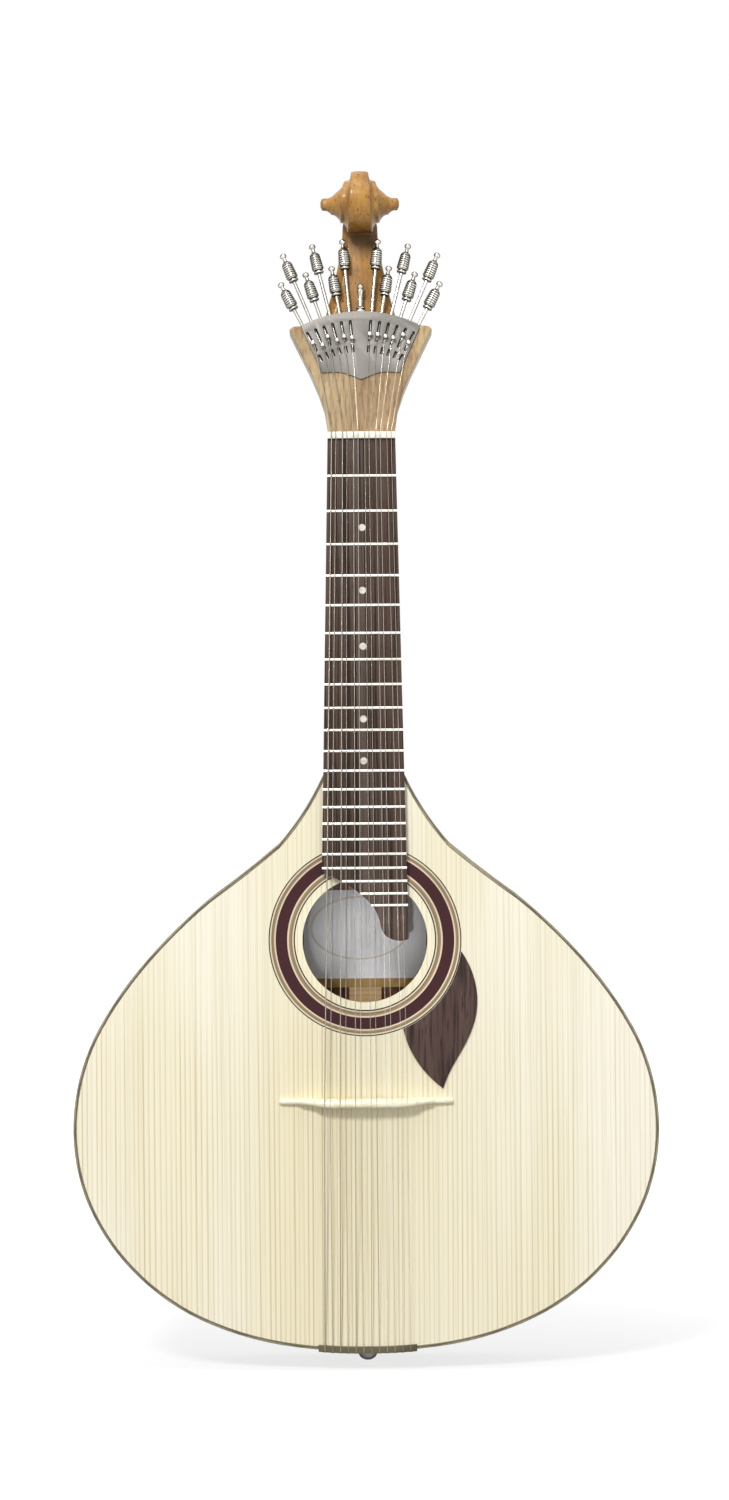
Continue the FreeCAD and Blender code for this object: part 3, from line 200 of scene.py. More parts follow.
def merged(meshes: Iterable[Mesh]) -> Mesh:
    """Puts several meshes into one."""
    corners: list[Point] = []
    faces: list[tuple[int, ...]] = []
    for more_corners, more_faces in meshes:
        start = len(corners)
        corners += more_corners
        faces += [tuple(start + corner for corner in face) for face in more_faces]
    return corners, faces


def moved(mesh: Mesh, place: Matrix) -> Mesh:
    """Moves a mesh by a matrix."""
    corners, faces = mesh
    return [tuple(place @ Vector(corner)) for corner in corners], faces


def tube(path: Sequence[Vector], radius: float, sides: int) -> Mesh:
    """Draws a round tube along a path.

    Args:
        path: The centre line.
        radius: The tube's radius.
        sides: How many sides the tube has.

    Returns:
        The corners and faces, with closed ends.
    """
    rings = []
    across = Vector((1, 0, 0))
    for index, point in enumerate(path):
        before, after = path[max(index - 1, 0)], path[min(index + 1, len(path) - 1)]
        along = (after - before).normalized()
        across = (across - along * across.dot(along)).normalized()
        side = along.cross(across)
        ring = []
        for step in range(sides):
            angle = TURN * step / sides
            ring.append(tuple(point + (across * math.cos(angle) + side * math.sin(angle)) * radius))
        rings.append(ring)
    return loft(rings)


def linked(name: str, data: bpy.types.ID) -> Piece:
    """Makes an object from its data and puts it into the scene."""
    made = bpy.data.objects.new(name, data)
    bpy.context.scene.collection.objects.link(made)
    return made


def object_of(name: str, mesh: Mesh, place: Matrix, material: Material, crease: float = 35) -> Piece:
    """Makes a Blender object from a mesh drawn in millimetres.

    Args:
        name: The object's name.
        mesh: Corners and faces.
        place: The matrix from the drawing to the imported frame.
        material: What it is made of.
        crease: Edges that turn by more than this many degrees stay sharp.

    Returns:
        The new object, which sits at the origin.
    """
    corners, faces = moved(mesh, place)
    data = bpy.data.meshes.new(name)
    data.from_pydata(corners, [], faces)
    data.validate()
    piece = linked(name, data)
    tidy_normals(data)
    data.materials.append(material)
    data.shade_smooth()
    data.set_sharp_from_angle(angle=math.radians(crease))
    return piece


def tidy_normals(data: bpy.types.Mesh) -> None:
    """Turns the faces of a closed mesh outwards.

    Args:
        data: The mesh.
    """
    work = bmesh.new()
    work.from_mesh(data)
    bmesh.ops.recalc_face_normals(work, faces=work.faces)
    work.to_mesh(data)
    work.free()


def settled(piece: Piece) -> Piece:
    """Replaces an object's mesh and modifiers by their finished result.

    Args:
        piece: The object.

    Returns:
        The same object.
    """
    graph = bpy.context.evaluated_depsgraph_get()
    data = bpy.data.meshes.new_from_object(piece.evaluated_get(graph), depsgraph=graph)
    piece.modifiers.clear()
    piece.data = data
    return piece


def bevelled(piece: Piece, width: float, angle: float = 40) -> Piece:
    """Rounds an object's sharp edges.

    Args:
        piece: The object.
        width: How far they are rounded, in millimetres.
        angle: Edges that turn by more than this many degrees are rounded.

    Returns:
        The same object.
    """
    bevel = piece.modifiers.new("edge", "BEVEL")
    bevel.width = width * MM
    bevel.segments = 2
    bevel.limit_method = "ANGLE"
    bevel.angle_limit = math.radians(angle)
    bevel.harden_normals = False
    settled(piece)
    piece.data.shade_smooth()
    piece.data.set_sharp_from_angle(angle=math.radians(50))
    return piece


def joined(piece: Piece, other: Piece) -> Piece:
    """Adds another object's mesh to an object's, and deletes the other.

    Args:
        piece: The object.
        other: The other one.

    Returns:
        The same object.
    """
    work = bmesh.new()
    work.from_mesh(piece.data)
    work.from_mesh(other.data)
    work.to_mesh(piece.data)
    work.free()
    bpy.data.objects.remove(other)
    return piece


def add_node(tree: Tree, kind: str, inputs: dict | None = None, **settings: object) -> Node:
    """Adds a node to a tree.

    Args:
        tree: The shader or geometry tree.
        kind: The node's type.
        inputs: For each input, by name or number, a socket to link or a value to set.
        settings: The node's own properties.

    Returns:
        The new node.
    """
    made = tree.nodes.new(kind)
    for key, value in settings.items():
        setattr(made, key, value)
    for key, value in (inputs or {}).items():
        if isinstance(value, Socket):
            tree.links.new(value, made.inputs[key])
        else:
            made.inputs[key].default_value = value
    return made


def times(tree: Tree, first: object, second: object) -> Socket:
    """Multiplies two values."""
    return maths(tree, "MULTIPLY", first, second)


def maths(tree: Tree, operation: str, *values: object) -> Socket:
    """Adds a Math node and gives its result."""
    return add_node(tree, "ShaderNodeMath", dict(enumerate(values)), operation=operation).outputs[0]


def blended(tree: Tree, share: object, first: object, second: object) -> Socket:
    """Mixes two colours by the share of the second."""
    return add_node(tree, "ShaderNodeMix", {0: share, 6: first, 7: second}, data_type="RGBA").outputs[2]


def ranged(
    tree: Tree, value: object, low: float, high: float, to_low: float = 0.0, to_high: float = 1.0
) -> Socket:
    """Maps a value from one range to another, smoothly and held at its ends."""
    inputs = {0: value, 1: low, 2: high, 3: to_low, 4: to_high}
    return add_node(tree, "ShaderNodeMapRange", inputs, interpolation_type="SMOOTHSTEP").outputs[0]


def noise(tree: Tree, vector: object, scale: float, detail: float) -> Socket:
    """Adds a noise texture and gives its value."""
    inputs = {"Vector": vector, "Scale": scale, "Detail": detail}
    return add_node(tree, "ShaderNodeTexNoise", inputs).outputs["Fac"]


def scaled(tree: Tree, vector: object, scale: Point) -> Socket:
    """Stretches a vector by three factors."""
    return add_node(tree, "ShaderNodeVectorMath", {0: vector, 1: scale}, operation="MULTIPLY").outputs[0]


def distance(tree: Tree, place: object, centre: Point) -> Socket:
    """Measures how far places lie from a point."""
    return add_node(tree, "ShaderNodeVectorMath", {0: place, 1: centre}, operation="DISTANCE").outputs[1]


def coordinate(tree: Tree, vector: object, axis: int) -> Socket:
    """Gives one of a vector's three coordinates."""
    return add_node(tree, "ShaderNodeSeparateXYZ", {0: vector}).outputs[axis]


# Node groups that several finishes share


class Group(Enum):
    """The shared shader groups, by name."""

    GRAIN = "wood_grain"
    HANDLING = "handling"
    BRUSHING = "brushing"


def group_tree(group: Group, inputs: dict[str, tuple[str, float]], outputs: Sequence[str]) -> Tree:
    """Starts a shader node group.

    Args:
        group: Which group it is.
        inputs: For each input its socket type and starting value.
        outputs: The names of its value outputs.

    Returns:
        The group's tree with its input and output nodes.
    """
    tree = bpy.data.node_groups.new(group.value, "ShaderNodeTree")
    for name, (kind, value) in inputs.items():
        socket = tree.interface.new_socket(name, in_out="INPUT", socket_type=kind)
        if kind == "NodeSocketFloat":
            socket.default_value = value
    for name in outputs:
        tree.interface.new_socket(name, in_out="OUTPUT", socket_type="NodeSocketFloat")
    return tree


GRAIN_WANDER = 9.0
BANDS_TO_LINES = 0.11
PORES_TO_LINES = 2.4
PORE_STRETCH = 0.06


def make_grain_group() -> None:
    """Builds the grain of wood: fine lines, broad bands, pores and a height.

    The grain runs along Z. Across is the number of lines to a metre, and Stretch how much shorter
    the pattern is along the grain than across it.
    """
    number = "NodeSocketFloat"
    inputs = {
        "Vector": ("NodeSocketVector", 0.0),
        "Across": (number, 400.0),
        "Stretch": (number, 0.006),
        "Waviness": (number, 0.002),
    }
    tree = group_tree(Group.GRAIN, inputs, ("Lines", "Bands", "Pores", "Height"))
    start = tree.nodes.new("NodeGroupInput")
    end = tree.nodes.new("NodeGroupOutput")
    slow = {"Vector": start.outputs["Vector"], "Scale": GRAIN_WANDER, "Detail": 1.0}
    wander = add_node(tree, "ShaderNodeTexNoise", slow)
    centred = {0: wander.outputs["Color"], 1: (0.5, 0.5, 0.5)}
    shift = add_node(tree, "ShaderNodeVectorMath", centred, operation="SUBTRACT")
    drift = add_node(tree, "ShaderNodeVectorMath", {0: shift.outputs[0]}, operation="SCALE")
    tree.links.new(start.outputs["Waviness"], drift.inputs["Scale"])
    wandered = {0: start.outputs["Vector"], 1: drift.outputs[0]}
    place = add_node(tree, "ShaderNodeVectorMath", wandered, operation="ADD")
    parts = add_node(tree, "ShaderNodeSeparateXYZ", {0: place.outputs[0]})
    x, y, z = parts.outputs
    along = times(tree, z, start.outputs["Stretch"])
    flat = add_node(tree, "ShaderNodeCombineXYZ", {0: x, 1: y, 2: along}).outputs[0]
    across = start.outputs["Across"]
    fine = noise(tree, flat, 1.0, 1.5)
    broad = noise(tree, flat, 1.0, 1.0)
    short = times(tree, z, PORE_STRETCH)
    fleck = add_node(tree, "ShaderNodeCombineXYZ", {0: x, 1: y, 2: short}).outputs[0]
    pore = noise(tree, fleck, 1.0, 2.0)
    for socket, share in ((fine, 1.0), (broad, BANDS_TO_LINES), (pore, PORES_TO_LINES)):
        scale = times(tree, across, share)
        tree.links.new(scale, socket.node.inputs["Scale"])
    lines = ranged(tree, fine, 0.42, 0.68)
    bands = ranged(tree, broad, 0.3, 0.7)
    pores = ranged(tree, pore, 0.6, 0.72)
    height = maths(tree, "SUBTRACT", times(tree, lines, 0.35), pores)
    for name, socket in (("Lines", lines), ("Bands", bands), ("Pores", pores), ("Height", height)):
        tree.links.new(socket, end.inputs[name])


def make_handling_group() -> None:
    """Builds the marks of use: soft smudges and fine specks of dust, as a mask from 0 to 1."""
    tree = group_tree(Group.HANDLING, {"Vector": ("NodeSocketVector", 0.0)}, ("Smudge", "Specks"))
    start = tree.nodes.new("NodeGroupInput")
    end = tree.nodes.new("NodeGroupOutput")
    smudge = ranged(tree, noise(tree, start.outputs[0], 38.0, 4.0), 0.42, 0.7)
    specks = ranged(tree, noise(tree, start.outputs[0], 900.0, 1.0), 0.72, 0.78)
    tree.links.new(smudge, end.inputs["Smudge"])
    tree.links.new(specks, end.inputs["Specks"])


def make_brushing_group() -> None:
    """Builds the fine parallel scratches of brushed metal, along X."""
    tree = group_tree(Group.BRUSHING, {"Vector": ("NodeSocketVector", 0.0)}, ("Scratches",))
    start = tree.nodes.new("NodeGroupInput")
    end = tree.nodes.new("NodeGroupOutput")
    flat = scaled(tree, start.outputs[0], (0.02, 1.0, 1.0))
    tree.links.new(noise(tree, flat, 5200.0, 3.0), end.inputs["Scratches"])


def use_group(tree: Tree, group: Group, vector: object, **values: float) -> Node:
    """Places a shared group in a material.

    Args:
        tree: The material's tree.
        group: Which group.
        vector: What its Vector input reads.
        values: Its other inputs.

    Returns:
        The group node.
    """
    made = add_node(tree, "ShaderNodeGroup", node_tree=bpy.data.node_groups[group.value])
    tree.links.new(vector, made.inputs["Vector"])
    for name, value in values.items():
        made.inputs[name].default_value = value
    return made


def new_material(name: str) -> Started:
    """Starts a material.

    Args:
        name: The material's name.

    Returns:
        The material, its tree, its Principled shader and the Object coordinates.
    """
    material = bpy.data.materials.new(name)
    material.use_nodes = True
    tree = material.node_tree
    shader = tree.nodes["Principled BSDF"]
    place = add_node(tree, "ShaderNodeTexCoord").outputs["Object"]
    return material, tree, shader, place


def give_bump(tree: Tree, shader: Node, height: object, strength: float, depth: float) -> None:
    """Feeds a height into the shader's normal, with its depth in millimetres."""
    inputs = {"Height": height, "Strength": strength, "Distance": depth * MM}
    bump = add_node(tree, "ShaderNodeBump", inputs)
    tree.links.new(bump.outputs[0], shader.inputs["Normal"])


# Finishes


@dataclass(frozen=True)
class WoodFinish:
    """Lacquered wood with its grain along the neck.

    Attributes:
        name: The material's name.
        light: Colour between the grain lines.
        dark: Colour of the grain lines.
        tint: Colour of the broad bands.
        pore: Colour of the pores.
        across: Grain lines to a metre.
        stretch: How much shorter the pattern is along the grain.
        waviness: How far the grain wanders, in metres.
        line_share: How strongly the lines show.
        tint_share: How strongly the bands show.
        pore_share: How strongly the pores show.
        roughness: Roughness of the bare surface.
        coat: Weight of the lacquer.
        bump: Depth of the grain in millimetres.
        lying: Whether the grain runs across the guitar.
        shine: How strongly the bare surface reflects.
    """

    name: str
    light: Colour
    dark: Colour
    tint: Colour
    pore: Colour
    across: float = 400.0
    stretch: float = 0.01
    waviness: float = 0.003
    line_share: float = 0.6
    tint_share: float = 0.5
    pore_share: float = 0.4
    roughness: float = 0.42
    coat: float = 0.25
    bump: float = 0.04
    lying: bool = False
    shine: float = 0.3

    def colour_of(self, tree: Tree, grain: Node) -> Socket:
        """Mixes the wood's colours by its grain.

        Args:
            tree: The material's tree.
            grain: The grain group's node.

        Returns:
            The mixed colour.
        """
        shares = (
            ("Bands", self.tint_share, self.tint),
            ("Lines", self.line_share, self.dark),
            ("Pores", self.pore_share, self.pore),
        )
        colour: object = self.light
        for mask, share, towards in shares:
            colour = blended(tree, times(tree, grain.outputs[mask], share), colour, towards)
        return colour

    def make(self) -> Material:
        """Builds the material."""
        material, tree, shader, place = new_material(self.name)
        if self.lying:
            lying = {"Vector": place, "Rotation": (0, math.pi / 2, 0)}
            place = add_node(tree, "ShaderNodeMapping", lying).outputs[0]
        sizes = {"Across": self.across, "Stretch": self.stretch, "Waviness": self.waviness}
        grain = use_group(tree, Group.GRAIN, place, **sizes)
        handling = use_group(tree, Group.HANDLING, place)
        tree.links.new(self.colour_of(tree, grain), shader.inputs["Base Color"])
        rough = ranged(tree, handling.outputs["Smudge"], 0, 1, self.roughness, self.roughness + 0.12)
        tree.links.new(rough, shader.inputs["Roughness"])
        give_bump(tree, shader, grain.outputs["Height"], 0.6, self.bump)
        shader.inputs["Specular IOR Level"].default_value = self.shine
        shader.inputs["Coat Weight"].default_value = self.coat
        shader.inputs["Coat Roughness"].default_value = 0.16
        return material


@dataclass(frozen=True)
class SpruceFinish:
    """The soundboard: pale spruce whose lines come and go, yellower low in the middle.

    Attributes:
        name: The material's name.
        pale: Colour of the whitest patches.
        cream: Colour of the other patches.
        yellow: Colour low in the middle.
        line: Colour of the year rings.
        across: Fine grain lines to a metre.
        year: Mean distance between year rings, in metres.
        drift: How far the rings' spacing wanders.
        lines_full: Height below which the rings show in full, in metres.
        lines_faint: Height above which they are faint, as a painted sheen on the upper soundboard.
        faint: How strongly they show there.
        pale_share: How strongly they show in pale patches.
        cream_share: What cream patches add to that.
        warm_share: What the yellow part adds to that.
        warm_middle: Height of the yellow part's middle, squashed as the part is.
        warm_squash: How much the yellow part's height counts against its width.
        warm_reach: Distances from its middle where the yellow is full and where it ends.
    """

    name: str = "spruce_top"
    pale: Colour = srgb(254, 249, 231)
    cream: Colour = srgb(249, 241, 214)
    yellow: Colour = srgb(241, 231, 196)
    line: Colour = srgb(206, 190, 142)
    across: float = 980.0
    year: float = 0.0033
    drift: float = 22.0
    lines_full: float = -0.44
    lines_faint: float = -0.37
    faint: float = 0.45
    pale_share: float = 0.4
    cream_share: float = 0.4
    warm_share: float = 0.15
    warm_middle: float = -0.27
    warm_squash: float = 0.55
    warm_reach: tuple[float, float] = (0.03, 0.17)

    def year_lines(self, tree: Tree, place: Socket) -> Socket:
        """Draws the year rings as thin lines along the grain, their spacing and weight wandering.

        Args:
            tree: The material's tree.
            place: The Object coordinates.

        Returns:
            A mask that is 1 on the lines.
        """
        wander = noise(tree, scaled(tree, place, (16.0, 0.0, 0.5)), 1.0, 2.0)
        across = coordinate(tree, place, 0)
        phase = times(tree, across, TURN / self.year)
        phase = maths(tree, "ADD", phase, times(tree, wander, self.drift))
        crest = ranged(tree, maths(tree, "SINE", phase), 0.3, 0.98)
        weight = noise(tree, scaled(tree, place, (260.0, 0.0, 1.6)), 1.0, 1.0)
        return times(tree, crest, ranged(tree, weight, 0.34, 0.66, 0.2, 1.0))

    def make(self) -> Material:
        """Builds the material."""
        material, tree, shader, place = new_material(self.name)
        grain = use_group(tree, Group.GRAIN, place, Across=self.across, Stretch=0.0035, Waviness=0.0016)
        patches = ranged(tree, noise(tree, scaled(tree, place, (14.0, 0.0, 3.0)), 1.0, 1.0), 0.38, 0.66)
        squashed = scaled(tree, place, (1.0, 0.0, self.warm_squash))
        away = distance(tree, squashed, (0.0, 0.0, self.warm_middle))
        low_middle = ranged(tree, away, *self.warm_reach, 1.0, 0.0)
        ground = blended(tree, patches, self.pale, self.cream)
        ground = blended(tree, times(tree, low_middle, 0.6), ground, self.yellow)
        strength = maths(tree, "ADD", times(tree, patches, self.cream_share), self.pale_share)
        strength = maths(tree, "ADD", strength, times(tree, low_middle, self.warm_share))
        # Painted sheen: the rings fade towards the top, so the upper soundboard looks washed with light.
        height = coordinate(tree, place, 2)
        painted_sheen_fade = ranged(tree, height, self.lines_full, self.lines_faint, 1.0, self.faint)
        strength = times(tree, strength, painted_sheen_fade)
        rings = self.year_lines(tree, place)
        colour = blended(tree, times(tree, rings, strength), ground, self.line)
        thin = ranged(tree, grain.outputs["Lines"], 0.35, 1.0)
        colour = blended(tree, times(tree, thin, 0.22), colour, self.line)
        colour = blended(tree, times(tree, grain.outputs["Bands"], 0.05), colour, self.line)
        tree.links.new(colour, shader.inputs["Base Color"])
        handling = use_group(tree, Group.HANDLING, place)
        rough = ranged(tree, handling.outputs["Smudge"], 0, 1, 0.34, 0.46)
        tree.links.new(rough, shader.inputs["Roughness"])
        give_bump(tree, shader, grain.outputs["Height"], 0.4, 0.02)
        shader.inputs["Specular IOR Level"].default_value = 0.25
        shader.inputs["Coat Weight"].default_value = 0.05
        shader.inputs["Coat Roughness"].default_value = 0.2
        return material


def striped(tree: Tree, value: object, stripes: Sequence[tuple[float, Colour]]) -> Socket:
    """Colours a value from 0 to 1 with stripes.

    Args:
        tree: The material's tree.
        value: The value.
        stripes: Where each stripe starts, and its colour.

    Returns:
        The colour.
    """
    ramp = add_node(tree, "ShaderNodeValToRGB", {0: value})
    ramp.color_ramp.interpolation = "CONSTANT"
    elements = ramp.color_ramp.elements
    elements[0].color = stripes[0][1]
    elements.remove(elements[1])
    for start, colour in stripes[1:]:
        elements.new(start).color = colour
    return ramp.outputs[0]


@dataclass(frozen=True)
class RosetteFinish:
    """Rings of coloured wood let into the soundboard, drawn by their distance from its hole.

    Attributes:
        name: The material's name.
        inner: Inner radius of the rings, in millimetres.
        outer: Their outer radius.
        hole_height: Height of the soundhole's middle.
        ink: Colour of the thin dark rings.
        pale: Colour of the light rings.
        olive: Colour of the greenish rings.
        rose: Colour of the reddish rings.
        band: Colour of the wide band.
        band_dark: Colour of its darker streaks.
    """

    name: str = "rosette_lines"
    inner: float = 46.8
    outer: float = 64.4
    hole_height: float = -349.18
    ink: Colour = srgb(30, 26, 22)
    pale: Colour = srgb(238, 228, 198)
    olive: Colour = srgb(150, 131, 96)
    rose: Colour = srgb(178, 142, 116)
    band: Colour = srgb(70, 38, 41)
    band_dark: Colour = srgb(46, 26, 30)

    def rings(self) -> list[tuple[float, Colour]]:
        """Lists the rings from the inside out, each with its inner radius."""
        return [
            (self.inner, self.ink),
            (47.6, self.pale),
            (48.5, self.olive),
            (49.7, self.rose),
            (50.8, self.pale),
            (51.9, self.band),
            (59.6, self.pale),
            (60.6, self.rose),
            (61.5, self.olive),
            (62.6, self.pale),
            (63.6, self.ink),
        ]

    def make(self) -> Material:
        """Builds the material."""
        material, tree, shader, place = new_material(self.name)
        centre = (0.0, 0.0, self.hole_height * MM)
        flat = scaled(tree, place, (1.0, 0.0, 1.0))
        radius = distance(tree, flat, centre)
        span = {0: radius, 1: self.inner * MM, 2: self.outer * MM}
        share = add_node(tree, "ShaderNodeMapRange", span).outputs[0]
        width = self.outer - self.inner
        stripes = [((ring - self.inner) / width, colour) for ring, colour in self.rings()]
        colour = striped(tree, share, stripes)
        grain = use_group(tree, Group.GRAIN, place, Across=160.0, Stretch=0.5, Waviness=0.002)
        shade = times(tree, grain.outputs["Bands"], 0.22)
        colour = blended(tree, shade, colour, self.band_dark)
        tree.links.new(colour, shader.inputs["Base Color"])
        tree.links.new(ranged(tree, grain.outputs["Bands"], 0, 1, 0.3, 0.4), shader.inputs["Roughness"])
        give_bump(tree, shader, grain.outputs["Height"], 0.3, 0.02)
        shader.inputs["Specular IOR Level"].default_value = 0.15
        return material


@dataclass(frozen=True)
class EdgeFinish:
    """The binding: bands of wood that follow the edge, by the distance from it in millimetres.

    Attributes:
        name: The material's name.
        outer: Colour of the outermost band.
        line: Colour of the thin light line.
        dark: Colour of the dark bands.
        width: Width of all of them.
    """

    name: str
    outer: Colour = srgb(160, 152, 130)
    line: Colour = srgb(176, 166, 138)
    dark: Colour = srgb(98, 91, 70)
    width: float = 2.3

    def make(self) -> Material:
        """Builds the material."""
        material, tree, shader, place = new_material(self.name)
        inset = add_node(tree, "ShaderNodeAttribute", attribute_name="inset").outputs["Fac"]
        share = maths(tree, "DIVIDE", inset, self.width)
        stripes = [(0.0, self.outer), (0.28, self.dark), (0.76, self.line), (0.86, self.dark)]
        colour = striped(tree, share, stripes)
        grain = use_group(tree, Group.GRAIN, place, Across=700.0, Stretch=0.2, Waviness=0.003)
        colour = blended(tree, times(tree, grain.outputs["Lines"], 0.3), colour, self.dark)
        tree.links.new(colour, shader.inputs["Base Color"])
        tree.links.new(ranged(tree, grain.outputs["Bands"], 0, 1, 0.3, 0.42), shader.inputs["Roughness"])
        give_bump(tree, shader, grain.outputs["Height"], 0.3, 0.02)
        shader.inputs["Specular IOR Level"].default_value = 0.25
        return material


@dataclass(frozen=True)
class LabelFinish:
    """Shiny paper with a thin oval border and a band along its foot, in millimetres.

    Attributes:
        name: The material's name.
        paper: Colour of the paper.
        gold: Colour of the border.
        band: Colour of the band.
        oval_middle: Middle of the border.
        oval_half_width: Half the border's width.
        oval_half_height: Half its height.
        oval_line: Half its line's width, as a share of its size.
        oval_share: How strongly the line shows.
        band_top: Height of the band's upper edge.
    """

    name: str = "label_paper"
    paper: Colour = srgb(244, 245, 250)
    gold: Colour = srgb(176, 158, 96)
    band: Colour = srgb(166, 128, 48)
    oval_middle: Point = (-3.6, 0.0, -344.4)
    oval_half_width: float = 33.3
    oval_half_height: float = 21.3
    oval_line: float = 0.035
    oval_share: float = 0.5
    band_top: float = -379.0

    def make(self) -> Material:
        """Builds the material."""
        material, tree, shader, place = new_material(self.name)
        x, _, z = self.oval_middle
        across, up = self.oval_half_width * MM, self.oval_half_height * MM
        unit = scaled(tree, place, (1 / across, 0.0, 1 / up))
        centre = (x * MM / across, 0.0, z * MM / up)
        away = distance(tree, unit, centre)
        off_line = maths(tree, "ABSOLUTE", maths(tree, "SUBTRACT", away, 1.0))
        border = ranged(tree, off_line, self.oval_line * 0.5, self.oval_line, 1.0, 0.0)
        fibres = noise(tree, scaled(tree, place, (1.0, 1.0, 0.5)), 600.0, 4.0)
        colour = blended(tree, times(tree, fibres, 0.12), self.paper, self.gold)
        colour = blended(tree, times(tree, border, self.oval_share), colour, self.gold)
        height = coordinate(tree, place, 2)
        foot = ranged(tree, height, self.band_top * MM - 0.0002, self.band_top * MM, 1.0, 0.0)
        colour = blended(tree, foot, colour, self.band)
        tree.links.new(colour, shader.inputs["Base Color"])
        tree.links.new(ranged(tree, fibres, 0.3, 0.7, 0.28, 0.4), shader.inputs["Roughness"])
        give_bump(tree, shader, fibres, 0.4, 0.03)
        return material


@dataclass(frozen=True)
class MetalFinish:
    """Metal with smudges and, where it is brushed, fine scratches.

    Attributes:
        name: The material's name.
        bright: Colour where it is clean.
        dull: Colour where it is smudged.
        roughness: Its roughness where it is clean.
        brushed: How strongly the scratches show.
        scratch_depth: Depth of the scratches in millimetres.
        rim: Colour of a dark room's reflection where the surface turns away.
        rim_share: How strongly that reflection shows.
        speckle: How strongly a fine knurl's glitter shows.
        metallic: Share of metal in a surface that is dulled by blasting.
    """

    name: str
    bright: Colour
    dull: Colour
    roughness: float = 0.25
    brushed: float = 0.0
    scratch_depth: float = 0.004
    rim: Colour = srgb(70, 66, 60)
    rim_share: float = 0.0
    speckle: float = 0.0
    metallic: float = 1.0

    def make(self) -> Material:
        """Builds the material."""
        material, tree, shader, place = new_material(self.name)
        handling = use_group(tree, Group.HANDLING, place)
        brushing = use_group(tree, Group.BRUSHING, place)
        colour = blended(tree, handling.outputs["Smudge"], self.bright, self.dull)
        scratch = times(tree, brushing.outputs["Scratches"], self.brushed)
        colour = blended(tree, times(tree, scratch, 0.3), colour, self.dull)
        if self.speckle:
            glitter = ranged(tree, noise(tree, place, 1100.0, 2.0), 0.4, 0.62)
            colour = blended(tree, times(tree, glitter, self.speckle), colour, self.rim)
        if self.rim_share:
            facing = add_node(tree, "ShaderNodeLayerWeight", {"Blend": 0.5}).outputs["Facing"]
            turned_away = ranged(tree, facing, 0.06, 0.62)
            colour = blended(tree, times(tree, turned_away, self.rim_share), colour, self.rim)
        tree.links.new(colour, shader.inputs["Base Color"])
        rough = ranged(tree, handling.outputs["Smudge"], 0, 1, self.roughness, self.roughness + 0.1)
        tree.links.new(maths(tree, "ADD", rough, times(tree, scratch, 0.12)), shader.inputs["Roughness"])
        if self.brushed:
            give_bump(tree, shader, brushing.outputs["Scratches"], self.brushed, self.scratch_depth)
        shader.inputs["Metallic"].default_value = self.metallic
        return material


@dataclass(frozen=True)
class WindingFinish:
    """The fine wire wound round the thicker strings.

    Attributes:
        name: The material's name.
        wire: Colour of the wire.
        gap_shade: Painted shade between two turns.
        turns: Turns to a metre.
    """

    name: str = "wound_string"
    wire: Colour = srgb(196, 190, 176)
    gap_shade: Colour = srgb(104, 96, 84)
    turns: float = 3600.0

    def make(self) -> Material:
        """Builds the material."""
        material, tree, shader, place = new_material(self.name)
        along = coordinate(tree, place, 2)
        wave = maths(tree, "SINE", times(tree, along, self.turns * TURN))
        round_wire = maths(tree, "ADD", times(tree, wave, 0.5), 0.5)
        # The wire's colour darkens to painted shade in the crevice between two turns.
        tree.links.new(blended(tree, round_wire, self.gap_shade, self.wire), shader.inputs["Base Color"])
        tree.links.new(ranged(tree, round_wire, 0, 1, 0.45, 0.25), shader.inputs["Roughness"])
        give_bump(tree, shader, round_wire, 0.5, 0.08)
        shader.inputs["Metallic"].default_value = 1.0
        return material


@dataclass(frozen=True)
class BoneFinish:
    """Bone or pearl: a pale, slightly clouded and polished solid.

    Attributes:
        name: The material's name.
        light: Its main colour.
        cloud: Colour of the clouds in it.
        roughness: Roughness of its polish.
    """

    name: str
    light: Colour
    cloud: Colour
    roughness: float = 0.28

    def make(self) -> Material:
        """Builds the material."""
        material, tree, shader, place = new_material(self.name)
        cloud = ranged(tree, noise(tree, scaled(tree, place, (1.0, 1.0, 2.4)), 160.0, 3.0), 0.4, 0.68)
        tree.links.new(blended(tree, cloud, self.light, self.cloud), shader.inputs["Base Color"])
        rough = ranged(tree, cloud, 0, 1, self.roughness, self.roughness + 0.15)
        tree.links.new(rough, shader.inputs["Roughness"])
        give_bump(tree, shader, cloud, 0.2, 0.02)
        shader.inputs["Coat Weight"].default_value = 0.3
        return material


